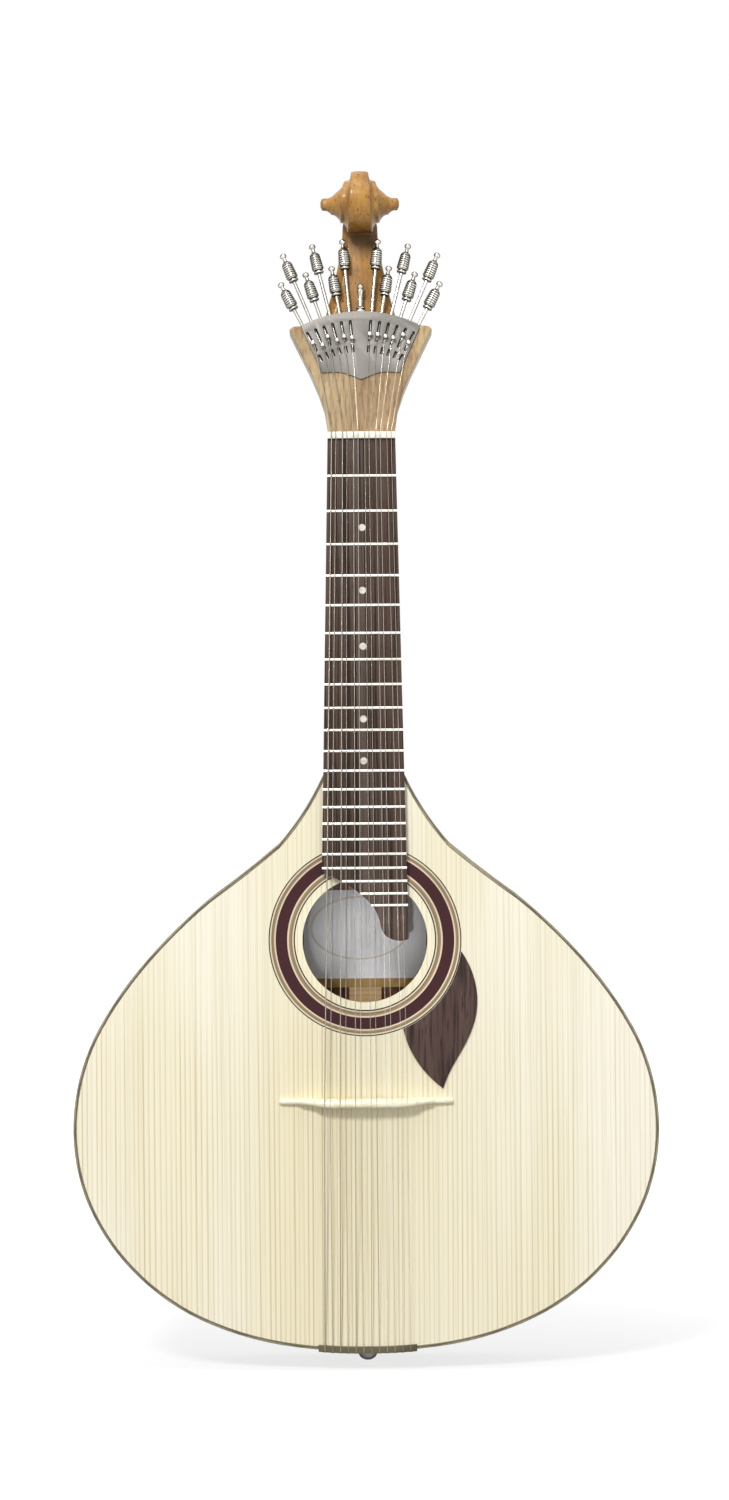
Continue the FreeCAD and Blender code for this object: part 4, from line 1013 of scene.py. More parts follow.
@dataclass(frozen=True)
class HeadFinish:
    """The head's wood: pale and streaked below, golden and glossy on the stem and scroll.

    Attributes:
        name: The material's name.
        pale: Colour of the lower wood.
        streak: Colour of its grain.
        golden: Colour of the upper wood.
        brown: Colour of its clouds and grain.
        throat_shade_middle: Middle of the painted shade below the scroll, in metres.
        throat_shade_reach: Reach of that painted shade.
        specks_and_shade: Colour of the painted shade and of the specks.
        golden_from: Height where the lower wood starts to turn golden, in millimetres.
        golden_full: Height above which it is golden.
        coat: Weight of the lacquer.
    """

    name: str = "head_wood"
    pale: Colour = srgb(194, 168, 126)
    streak: Colour = srgb(124, 92, 60)
    golden: Colour = srgb(186, 138, 70)
    brown: Colour = srgb(118, 74, 28)
    throat_shade_middle: Point = (0.003, 0.016, 0.124)
    throat_shade_reach: float = 0.018
    specks_and_shade: Colour = srgb(70, 42, 16)
    golden_from: float = 58.0
    golden_full: float = 68.0
    coat: float = 0.15

    def make(self) -> Material:
        """Builds the material."""
        material, tree, shader, place = new_material(self.name)
        grain = use_group(tree, Group.GRAIN, place, Across=520.0, Stretch=0.035, Waviness=0.006)
        mottle = ranged(tree, noise(tree, scaled(tree, place, (1.0, 1.0, 0.6)), 90.0, 3.0), 0.38, 0.68)
        lines, bands = grain.outputs["Lines"], grain.outputs["Bands"]
        below = blended(tree, times(tree, bands, 0.5), self.pale, self.streak)
        below = blended(tree, times(tree, lines, 0.6), below, self.streak)
        above = blended(tree, times(tree, mottle, 0.55), self.golden, self.brown)
        above = blended(tree, times(tree, lines, 0.25), above, self.brown)
        specks = ranged(tree, noise(tree, scaled(tree, place, (1.0, 1.0, 0.5)), 520.0, 3.0), 0.6, 0.7)
        above = blended(tree, times(tree, specks, 0.6), above, self.specks_and_shade)
        # Painted shade: a dark patch below the scroll's overhang, where shade falls in its throat.
        away = distance(tree, place, self.throat_shade_middle)
        painted_shade = ranged(tree, away, self.throat_shade_reach * 0.35, self.throat_shade_reach, 0.75, 0.0)
        above = blended(tree, painted_shade, above, self.specks_and_shade)
        height = coordinate(tree, place, 2)
        golden = ranged(tree, height, self.golden_from * MM, self.golden_full * MM)
        colour = blended(tree, golden, below, above)
        colour = blended(tree, times(tree, grain.outputs["Pores"], 0.4), colour, self.brown)
        tree.links.new(colour, shader.inputs["Base Color"])
        tree.links.new(ranged(tree, mottle, 0, 1, 0.26, 0.36), shader.inputs["Roughness"])
        give_bump(tree, shader, grain.outputs["Height"], 0.5, 0.05)
        shader.inputs["Specular IOR Level"].default_value = 0.2
        shader.inputs["Coat Weight"].default_value = self.coat
        shader.inputs["Coat Roughness"].default_value = 0.2
        return material


class Finish(Enum):
    """Every finish of the guitar."""

    SPRUCE = SpruceFinish()
    ROSEWOOD = WoodFinish(
        "body_rosewood", srgb(112, 68, 44), srgb(52, 28, 20), srgb(78, 44, 30), srgb(34, 20, 15),
        across=360.0, stretch=0.02, waviness=0.008,
    )
    EDGE = EdgeFinish("edge_binding")
    BACK_EDGE = EdgeFinish("back_edge", srgb(176, 150, 110), srgb(226, 214, 180), srgb(70, 46, 32))
    CEDAR = WoodFinish(
        "inner_cedar", srgb(206, 176, 132), srgb(160, 124, 82), srgb(186, 150, 104), srgb(120, 88, 56),
        across=420.0, coat=0.0, roughness=0.6,
    )
    LYING_CEDAR = WoodFinish(
        "brace_cedar", srgb(212, 184, 140), srgb(166, 130, 88), srgb(190, 156, 110), srgb(120, 88, 56),
        across=420.0, coat=0.0, roughness=0.6, lying=True,
    )
    LABEL = LabelFinish()
    ROSETTE = RosetteFinish()
    BOARD = WoodFinish(
        "ebony_board", srgb(96, 82, 74), srgb(34, 26, 22), srgb(78, 50, 36), srgb(22, 18, 16),
        across=640.0, stretch=0.008, waviness=0.002, line_share=0.85, tint_share=0.6,
        pore_share=0.5, roughness=0.42, coat=0.02, shine=0.12,
    )
    LEAF = WoodFinish(
        "leaf_rosewood", srgb(92, 72, 66), srgb(38, 27, 25), srgb(70, 48, 44), srgb(20, 14, 13),
        across=420.0, stretch=0.05, waviness=0.006, line_share=0.8, tint_share=0.5, pore_share=0.85,
        roughness=0.34, coat=0.06, shine=0.15,
    )
    NECK = WoodFinish(
        "neck_cedar", srgb(196, 150, 96), srgb(142, 98, 56), srgb(172, 122, 72), srgb(98, 62, 34),
        across=420.0, stretch=0.02, waviness=0.005,
    )
    HEAD = HeadFinish()
    FRET = MetalFinish("fret_metal", srgb(244, 242, 234), srgb(214, 208, 196), 0.16, rim_share=0.5)
    PEARL = BoneFinish("pearl", srgb(236, 232, 220), srgb(204, 200, 190), 0.14)
    NUT = BoneFinish("nut_bone", srgb(253, 249, 236), srgb(240, 233, 212))
    BRIDGE = BoneFinish("bridge_bone", srgb(253, 248, 224), srgb(240, 231, 196))
    PLATE = MetalFinish("machine_steel", srgb(138, 133, 127), srgb(122, 119, 114), 0.5, 0.5, metallic=0.35)
    TROUGH = MetalFinish("trough_steel", srgb(84, 81, 77), srgb(60, 57, 54), 0.45)
    NICKEL = MetalFinish(
        "knob_nickel", srgb(226, 223, 214), srgb(188, 183, 170), 0.2, rim_share=0.9, speckle=0.28
    )
    ROD = MetalFinish(
        "rod_nickel", srgb(214, 209, 198), srgb(186, 181, 170), 0.2, rim=srgb(88, 82, 74), rim_share=1.0
    )
    SCREW = MetalFinish("screw_steel", srgb(244, 242, 236), srgb(214, 210, 202), 0.3)
    # Darker metal for the knobs' foot, collar groove and bead grooves: painted shade in those hollows, with a
    # painted dark reflection where the surface turns away.
    GROOVE_SHADE = MetalFinish(
        "knob_groove_shade", srgb(96, 88, 74), srgb(60, 54, 46), 0.3, rim=srgb(20, 18, 16), rim_share=1.0
    )
    HOOK = MetalFinish("hook_nickel", srgb(232, 230, 225), srgb(208, 205, 198), 0.2, rim_share=0.6)
    STRING = MetalFinish("plain_string", srgb(204, 200, 188), srgb(174, 169, 156), 0.24, rim_share=0.85)
    WINDING = WindingFinish()
    TAIL = MetalFinish("tail_metal", srgb(104, 98, 78), srgb(82, 76, 60), 0.34, 0.3)
    DARK_TAIL = MetalFinish(
        "button_metal", srgb(150, 148, 146), srgb(96, 94, 92), 0.16, rim=srgb(16, 15, 14), rim_share=1.0
    )


_MADE: dict[Finish, Material] = {}


def material_of(finish: Finish) -> Material:
    """Gives a finish's material, built the first time that it is asked for."""
    if finish not in _MADE:
        _MADE[finish] = finish.value.make()
    return _MADE[finish]


# Frames that the pieces are drawn in


@dataclass(frozen=True)
class Frames:
    """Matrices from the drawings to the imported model's frame.

    Attributes:
        nut: Thickness of the nut, past which the head starts.
        tilt: How far the head leans back, in degrees.
        yoke_back: How far behind the head's face the hanger's yoke meets it.
        yoke_up: How far above the head's start that is.
        fan_below: How far below the head's start the tuners' rays meet.
    """

    nut: float = 4.5
    tilt: float = 10.0
    yoke_back: float = 10.0
    yoke_up: float = 12.0
    fan_below: float = 2.4

    def guitar(self) -> Matrix:
        """The guitar's drawing frame."""
        yoke = self.leaning() @ Vector((0, self.yoke_back, self.yoke_up))
        return Matrix.Scale(MM, 4) @ Matrix.Translation(-yoke)

    def leaning(self) -> Matrix:
        """The head's place in the guitar's drawing frame."""
        return Matrix.Translation((0, 0, self.nut)) @ Matrix.Rotation(math.radians(-self.tilt), 4, "X")

    def head(self) -> Matrix:
        """The head's drawing frame: its face at y = 0, and up from the nut."""
        return self.guitar() @ self.leaning()

    def ray(self, angle: float) -> Matrix:
        """A tuner's frame: its ray along +Z, at an angle to the right in degrees, from where all rays meet."""
        turned = Matrix.Rotation(math.radians(angle), 4, "Y")
        return self.head() @ Matrix.Translation((0, 0, -self.fan_below)) @ turned


FRAMES = Frames()

SAME_PLACE = 0.02
FLAT_ANGLE = 1.0


@dataclass
class Part:
    """What every sub-assembly needs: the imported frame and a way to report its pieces."""

    frame: dict

    def node(self, name: str) -> Piece:
        """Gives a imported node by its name."""
        return self.frame["nodes"][name]

    def dress(self, finish: Finish, *names: str) -> None:
        """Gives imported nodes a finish.

        Args:
            finish: The finish.
            names: The nodes.
        """
        for name in names:
            data = self.node(name).data
            data.materials.clear()
            data.materials.append(material_of(finish))
            LOG.info("%s dressed as %s", name, finish.name.lower())

    def take(self, name: str, source: str, finish: Finish) -> Piece:
        """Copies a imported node's mesh into a new piece, with its corners merged.

        Args:
            name: The new piece's name.
            source: The node.
            finish: What it is made of.

        Returns:
            The new piece.
        """
        data = self.node(source).data.copy()
        data.name = name
        piece = linked(name, data)
        work = bmesh.new()
        work.from_mesh(data)
        bmesh.ops.remove_doubles(work, verts=work.verts, dist=SAME_PLACE * MM)
        flat = math.radians(FLAT_ANGLE)
        bmesh.ops.dissolve_limit(work, angle_limit=flat, verts=work.verts, edges=work.edges)
        bmesh.ops.recalc_face_normals(work, faces=work.faces)
        work.to_mesh(data)
        work.free()
        data.materials.clear()
        data.materials.append(material_of(finish))
        return piece

    def refine(self, name: str, source: str, finish: Finish, width: float) -> None:
        """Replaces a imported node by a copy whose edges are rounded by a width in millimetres."""
        self.fit(bevelled(self.take(name, source, finish), width), "root", source)

    def fit(self, piece: Piece, body: str, node: str, slot: str | None = None) -> None:
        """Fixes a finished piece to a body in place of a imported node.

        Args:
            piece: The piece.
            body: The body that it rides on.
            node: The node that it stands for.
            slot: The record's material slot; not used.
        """
        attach(piece, body)
        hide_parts(node)
        LOG.info("%s: %d faces on %s", piece.name, len(piece.data.polygons), body)


# The body


@dataclass
class Body(Part):
    """The sound box: plates, sides, edges, inside work, rosette, leaf and label.

    Attributes:
        binding_width: Width of the binding in millimetres.
        leaf_round: How far the leaf's edge is rounded.
    """

    binding_width: float = 2.3
    leaf_round: float = 0.35

    def build(self) -> None:
        """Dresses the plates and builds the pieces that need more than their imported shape."""
        self.dress(Finish.SPRUCE, "soundboard")
        self.dress(Finish.ROSEWOOD, "back_plate", "left_side", "right_side")
        self.dress(Finish.CEDAR, "linings", "neck_block", "tail_block")
        self.dress(Finish.LYING_CEDAR, "top_braces", "back_braces")
        self.dress(Finish.LABEL, "paper_label")
        self.dress(Finish.ROSETTE, "rosette_band", "rosette_lines")
        self.bind("front_edge", "top_binding", "soundboard", Finish.EDGE)
        self.bind("back_edge", "back_binding", "back_plate", Finish.BACK_EDGE)
        self.refine("leaf", "pickguard", Finish.LEAF, self.leaf_round)

    def bind(self, name: str, source: str, plate: str, finish: Finish) -> None:
        """Builds a binding whose corners know how far they lie from the edge.

        Args:
            name: The new piece's name.
            source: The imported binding.
            plate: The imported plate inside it.
            finish: The binding's finish.
        """
        piece = self.take(name, source, finish)
        plate_tree = BVHTree.FromObject(self.node(plate), bpy.context.evaluated_depsgraph_get())
        inset = piece.data.attributes.new("inset", "FLOAT", "POINT")
        for index, vertex in enumerate(piece.data.vertices):
            distance = plate_tree.find_nearest(vertex.co)[3] / MM
            inset.data[index].value = max(self.binding_width - distance, 0.0)
        bevelled(piece, width=0.4, angle=60)
        self.fit(piece, "root", source, slot="edge_binding")


# Fingerboard, frets, dots, nut, neck


class GeometryTree:
    """A Geometry Nodes tree with named inputs, run once on a piece.

    Args:
        name: The tree's name.
        inputs: For each input its socket type and starting value.
    """

    def __init__(self, name: str, inputs: dict[str, tuple[str, float]]) -> None:
        """Makes the tree with its input and output nodes."""
        self.tree = bpy.data.node_groups.new(name, "GeometryNodeTree")
        self.tree.interface.new_socket("Geometry", in_out="INPUT", socket_type="NodeSocketGeometry")
        for label, (kind, value) in inputs.items():
            socket = self.tree.interface.new_socket(label, in_out="INPUT", socket_type=kind)
            socket.default_value = value
        self.tree.interface.new_socket("Geometry", in_out="OUTPUT", socket_type="NodeSocketGeometry")
        self.start = self.tree.nodes.new("NodeGroupInput")
        self.end = self.tree.nodes.new("NodeGroupOutput")

    def node(self, kind: str, inputs: dict | None = None, **settings: object) -> Node:
        """Adds a node to the tree."""
        return add_node(self.tree, kind, inputs, **settings)

    def maths(self, operation: str, *values: object) -> Socket:
        """Adds a Math node and gives its result."""
        return maths(self.tree, operation, *values)

    def given(self, label: str) -> Socket:
        """The socket of a named input."""
        return self.start.outputs[label]

    def close(self, geometry: Socket, finish: Finish) -> None:
        """Ends the tree: what it made is realized and gets its finish.

        Args:
            geometry: What it made.
            finish: Its finish.
        """
        real = self.node("GeometryNodeRealizeInstances", {0: geometry})
        look = {0: real.outputs[0], "Material": material_of(finish)}
        painted = self.node("GeometryNodeSetMaterial", look)
        self.tree.links.new(painted.outputs[0], self.end.inputs[0])

    def run(self, piece: Piece) -> Piece:
        """Runs the tree on a piece and keeps the result as its plain mesh."""
        piece.modifiers.new("nodes", "NODES").node_group = self.tree
        return settled(piece)


def empty_piece(name: str) -> Piece:
    """Makes an object with an empty mesh, for a tree to fill."""
    return linked(name, bpy.data.meshes.new(name))


@dataclass
class Board(Part):
    """The fingerboard with its frets and dots, and the nut.

    Attributes:
        scale: The strings' sounding length.
        frets: How many frets there are.
        thickness: The board's thickness.
        camber: Radius of its front.
        width_at_nut: Its width at the nut.
        width_at_body: Its width where the neck meets the body.
        nut_to_body: Distance between those two.
        short_side: Its length on the left.
        long_side: Its length on the right.
        scoop: Its scooped end, as shares down from the short side and across from the middle.
        wire: Radius of a fret's crown.
    """

    scale: float = 443.0
    frets: int = 21
    thickness: float = 6.0
    camber: float = 300.0
    width_at_nut: float = 45.2
    width_at_body: float = 54.1
    nut_to_body: float = 224.4
    short_side: float = 289.2
    long_side: float = 334.3
    scoop: tuple[tuple[float, float], ...] = (
        (0.0, -1.0), (0.14, -0.51), (0.37, -0.01), (0.66, 0.31), (0.93, 0.46), (1.0, 0.64),
    )
    wire: float = 1.0

    def build(self) -> None:
        """Builds and dresses the board's pieces."""
        self.refine("board", "fingerboard", Finish.BOARD, 0.25)
        self.dress(Finish.PEARL, "position_dots")
        self.refine("nut_bone", "nut", Finish.NUT, 0.3)
        self.build_frets()

    def build_frets(self) -> None:
        """Lays the frets by equal temperament, each as long as the board is wide at its place."""
        number = "NodeSocketFloat"
        tree = GeometryTree(
            "fret_row",
            {
                "Count": ("NodeSocketInt", self.frets),
                "Scale": (number, self.scale * MM),
                "Nut Half": (number, self.width_at_nut / 2 * MM),
                "Taper": (number, (self.width_at_body - self.width_at_nut) / 2 / self.nut_to_body),
                "Short Side": (number, self.short_side * MM),
                "Long Side": (number, self.long_side * MM),
                "Wire": (number, self.wire * MM),
                "Camber": (number, self.camber * MM),
            },
        )
        index = tree.node("GeometryNodeInputIndex").outputs[0]
        order = tree.maths("DIVIDE", tree.maths("ADD", index, 1.0), 12.0)
        left = tree.maths("DIVIDE", 1.0, tree.maths("POWER", 2.0, order))
        down = tree.maths("MULTIPLY", tree.given("Scale"), tree.maths("SUBTRACT", 1.0, left))
        half = tree.maths("ADD", tree.given("Nut Half"), tree.maths("MULTIPLY", down, tree.given("Taper")))
        drop = tree.maths("SUBTRACT", tree.given("Long Side"), tree.given("Short Side"))
        past = tree.maths("DIVIDE", tree.maths("SUBTRACT", down, tree.given("Short Side")), drop)
        edge = tree.node("ShaderNodeFloatCurve", {1: past})
        curve = edge.mapping.curves[0]
        for place, across in self.scoop[1:-1]:
            curve.points.new(place, (across + 1) / 2)
        curve.points[0].location = (0.0, 0.0)
        curve.points[-1].location = (1.0, (self.scoop[-1][1] + 1) / 2)
        edge.mapping.update()
        edge_share = tree.maths("SUBTRACT", tree.maths("MULTIPLY", edge.outputs[0], 2.0), 1.0)
        start_across = tree.maths("MULTIPLY", half, edge_share)
        length = tree.maths("SUBTRACT", half, start_across)
        middle = tree.maths("DIVIDE", tree.maths("ADD", half, start_across), 2.0)
        spot = tree.node("ShaderNodeCombineXYZ", {0: middle, 2: tree.maths("MULTIPLY", down, -1.0)})
        row = {"Count": tree.given("Count"), "Position": spot.outputs[0]}
        points = tree.node("GeometryNodePoints", row)
        line = tree.node("GeometryNodeCurvePrimitiveLine", {"Start": (-0.5, 0, 0), "End": (0.5, 0, 0)})
        fine = tree.node("GeometryNodeResampleCurve", {"Curve": line.outputs[0], "Count": 18})
        section = {"Resolution": 14, "Radius": tree.given("Wire")}
        ring = tree.node("GeometryNodeCurvePrimitiveCircle", section)
        rod = tree.node(
            "GeometryNodeCurveToMesh",
            {"Curve": fine.outputs[0], "Profile Curve": ring.outputs[0], "Fill Caps": True},
        )
        size = tree.node("ShaderNodeCombineXYZ", {0: length, 1: 1.0, 2: 1.0})
        laid = tree.node(
            "GeometryNodeInstanceOnPoints",
            {"Points": points.outputs[0], "Instance": rod.outputs[0], "Scale": size.outputs[0]},
        )
        real = tree.node("GeometryNodeRealizeInstances", {0: laid.outputs[0]})
        where = tree.node("GeometryNodeInputPosition").outputs[0]
        across = tree.node("ShaderNodeSeparateXYZ", {0: where}).outputs[0]
        bend = tree.maths("DIVIDE", tree.maths("MULTIPLY", across, across), tree.given("Camber"))
        offset = tree.node("ShaderNodeCombineXYZ", {1: tree.maths("MULTIPLY", bend, 0.5)})
        shift = {"Geometry": real.outputs[0], "Offset": offset.outputs[0]}
        bent = tree.node("GeometryNodeSetPosition", shift)
        tree.close(bent.outputs[0], Finish.FRET)
        piece = tree.run(empty_piece("fret_wires"))
        sink = Matrix.Translation((0, -self.thickness * MM, 0))
        piece.data.transform(FRAMES.guitar() @ Matrix.Scale(1 / MM, 4) @ sink)
        piece.data.shade_smooth()
        piece.data.set_sharp_from_angle(angle=math.radians(50))
        self.fit(piece, "root", "frets", slot="fret_metal")


# Carved pieces: neck, head and scroll


def carve(piece: Piece, grain_size: float, passes: int, keep: float) -> None:
    """Turns overlapping shells into one skin with softened edges, as carving and sanding do.

    Args:
        piece: The piece.
        grain_size: Size of the skin's cells in millimetres.
        passes: How often it is smoothed.
        keep: Share of its faces that stays.
    """
    remesh = piece.modifiers.new("skin", "REMESH")
    remesh.mode = "VOXEL"
    remesh.voxel_size = grain_size * MM
    soften = piece.modifiers.new("soften", "SMOOTH")
    soften.factor = 0.5
    soften.iterations = passes
    fewer = piece.modifiers.new("fewer", "DECIMATE")
    fewer.ratio = keep
    settled(piece)
    piece.data.shade_smooth()


@dataclass
class Head(Part):
    """The neck, and the head with its stem and scroll.

    The spiral is kept as turns from the top of the first one. For each of its places it has a
    radius, the half width of its rim, and the half width of its side where the next turn starts.

    Attributes:
        cut_at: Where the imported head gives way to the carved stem.
        stem: Sections of the stem: place, half width, front, back and width of the front's side bands.
        spiral: Sections of the scroll.
        eye_up: Height of the scroll's centre.
        eye_forward: How far the scroll's centre lies before the head's face.
        steps: Sections to a turn of the scroll.
        stem_steps: Sections of the stem for each given one.
        stem_corner: How far the stem's back corners are cut off.
        stem_crown: How far the middle of its front and of its back stands out.
        rim_bevel: How far the edge of the scroll's rim is cut off.
        flute_depth: How far a turn's side is hollowed.
        rim_crown: How far the middle of the rim stands out.
        wing_from: Height above which the wings are drawn out.
        wing_inside: Distance from the middle where that starts.
        wing_corner: Place of a wing's outer corner, across and up.
        wing_out: How far a wing is drawn out at its corner.
        wing_up: How far its inner part is drawn up.
    """

    cut_at: float = 75.0
    stem: tuple[tuple[float, ...], ...] = (
        (66.0, 27.0, 8.6, 20.0, 4.0), (78.0, 25.0, 8.6, 20.0, 4.4), (88.3, 22.6, 8.5, 20.0, 5.0),
        (98.7, 19.8, 8.3, 19.8, 5.2), (105.7, 18.2, 8.2, 19.6, 5.2), (112.7, 16.6, 8.2, 19.4, 5.0),
        (118.2, 15.4, 8.2, 19.3, 4.8), (126.6, 13.9, 8.2, 19.2, 4.4), (133.5, 12.8, 8.0, 19.4, 4.0),
        (140.5, 12.0, 7.2, 19.6, 3.8), (147.0, 11.6, 5.4, 19.8, 3.4), (153.0, 9.4, 3.4, 19.8, 2.4),
        (160.0, 7.0, 2.0, 19.6, 2.0),
    )
    spiral: tuple[tuple[float, ...], ...] = (
        (-0.36, 21.6, 7.6, 10.4), (-0.25, 22.1, 7.0, 10.4), (0.0, 22.2, 5.7, 9.8),
        (0.25, 21.3, 7.2, 13.4), (0.5, 19.4, 8.6, 13.4), (0.75, 17.8, 9.0, 13.8),
        (1.0, 16.3, 10.2, 15.0), (1.25, 14.8, 12.6, 18.6), (1.5, 13.0, 13.4, 18.4),
        (1.75, 10.5, 14.6, 18.8), (2.0, 8.5, 16.2, 21.0), (2.25, 7.6, 18.4, 24.2),
        (2.5, 7.3, 19.4, 24.0), (2.75, 5.6, 22.4, 24.8), (3.0, 4.3, 25.6, 26.4),
        (3.25, 4.2, 25.8, 26.5), (3.6, 4.2, 25.8, 26.5), (4.0, 4.2, 25.8, 26.5),
    )
    eye_up: float = 157.8
    eye_forward: float = 2.4
    steps: int = 48
    stem_steps: int = 4
    stem_corner: float = 5.0
    stem_crown: tuple[float, float] = (0.3, 0.2)
    rim_bevel: float = 1.1
    flute_depth: float = 0.5
    rim_crown: float = 0.25
    wing_from: float = 68.0
    wing_inside: float = 38.0
    wing_corner: tuple[float, float] = (47.9, 71.4)
    wing_out: float = 0.7
    wing_up: float = 0.4

    def build(self) -> None:
        """Builds the neck and the head."""
        self.refine("heel_plate", "heel_cap", Finish.BOARD, 0.3)
        self.build_neck()
        self.build_head()

    def build_neck(self) -> None:
        """Softens the neck's shape where its shaft runs into the heel."""
        piece = self.take("neck_shaft", "neck", Finish.NECK)
        carve(piece, grain_size=0.9, passes=6, keep=0.5)
        self.fit(piece, "root", "neck", slot="neck_cedar")

    def stem_mesh(self) -> Mesh:
        """Draws the stem behind the machine, with a sloping band along each side of its front."""
        rings = []
        for up, half, front, back, band in smooth_through(self.stem, self.stem_steps):
            corner = min(self.stem_corner, half / 2)
            right = [
                (0.0, front - self.stem_crown[0]),
                (half - band - 0.6, front),
                (half - 0.8, front + band * 0.7),
                (half, front + band),
                (half, back - corner),
                (half - corner * 0.3, back - corner * 0.3),
                (half - corner, back),
                (0.0, back + self.stem_crown[1]),
            ]
            left = [(-x, y) for x, y in reversed(right[1:-1])]
            rings.append([(x, y, up) for x, y in right + left])
        return loft(rings)

    def scroll_mesh(self) -> Mesh:
        """Draws the scroll's spiral, whose sides rise in fluted steps to the eyes."""
        keys = self.spiral
        rings = []
        first, last = keys[0][0], keys[-1][0]
        count = round((last - first) * self.steps)
        table = smooth_through(keys, 8)
        row = 0
        for step in range(count + 1):
            turn = first + (last - first) * step / count
            while row < len(table) - 2 and table[row + 1][0] < turn:
                row += 1
            low, high = table[row], table[row + 1]
            share = (turn - low[0]) / max(high[0] - low[0], 1e-9)
            radius, rim, foot = (a + (b - a) * share for a, b in zip(low[1:], high[1:]))
            angle = TURN * (0.25 + turn)
            bevel = min(self.rim_bevel, radius * 0.2)
            inner = radius * 0.5
            side = [
                (0.0, foot),
                (inner, foot),
                (inner + (radius - inner) * 0.35, foot + (rim - foot) * 0.5 - self.flute_depth),
                (inner + (radius - inner) * 0.7, rim + 0.1),
                (radius - bevel, rim),
                (radius - bevel * 0.3, rim - bevel * 0.3),
                (radius, rim - bevel),
                (radius + self.rim_crown, 0.0),
            ]
            section = side + [(reach, -half) for reach, half in reversed(side[:-1])]
            ring = []
            for reach, half in section:
                forward = -self.eye_forward + reach * math.cos(angle)
                ring.append((half, forward, self.eye_up + reach * math.sin(angle)))
            rings.append(ring)
        return loft(rings)

    def sharpen_wings(self, piece: Piece) -> None:
        """Draws the wings' outer corners out to where the slanting sides meet their tops.

        Args:
            piece: The head.
        """
        corner_across, corner_up = self.wing_corner
        to_head = FRAMES.head().inverted()
        for vertex in piece.data.vertices:
            local = to_head @ vertex.co
            if local.z > self.wing_from and abs(local.x) > self.wing_inside:
                share = (abs(local.x) - self.wing_inside) / (corner_across - self.wing_inside)
                local.x = math.copysign(abs(local.x) + self.wing_out * min(share, 1.0), local.x)
                local.z = max(local.z, corner_up) if share > 0.5 else local.z + self.wing_up
                vertex.co = FRAMES.head() @ local

    def build_head(self) -> None:
        """Carves the head in one piece from the nut to the scroll's eyes."""
        piece = self.take("head_carving", "head", Finish.HEAD)
        cut = FRAMES.head() @ Vector((0, 0, self.cut_at))
        normal = FRAMES.head().to_3x3().normalized() @ Vector((0, 0, 1))
        work = bmesh.new()
        work.from_mesh(piece.data)
        geometry = work.verts[:] + work.edges[:] + work.faces[:]
        halved = bmesh.ops.bisect_plane(
            work, geom=geometry, plane_co=cut, plane_no=normal, clear_outer=True
        )
        rim = [part for part in halved["geom_cut"] if isinstance(part, bmesh.types.BMEdge)]
        bmesh.ops.holes_fill(work, edges=rim)
        work.to_mesh(piece.data)
        work.free()
        self.sharpen_wings(piece)
        carved_parts = merged([self.stem_mesh(), self.scroll_mesh()])
        upper = object_of("head_upper", carved_parts, FRAMES.head(), material_of(Finish.HEAD))
        carve(joined(piece, upper), grain_size=0.55, passes=3, keep=0.45)
        self.fit(piece, "root", "head", slot="neck_cedar")


# The fan tuning machine


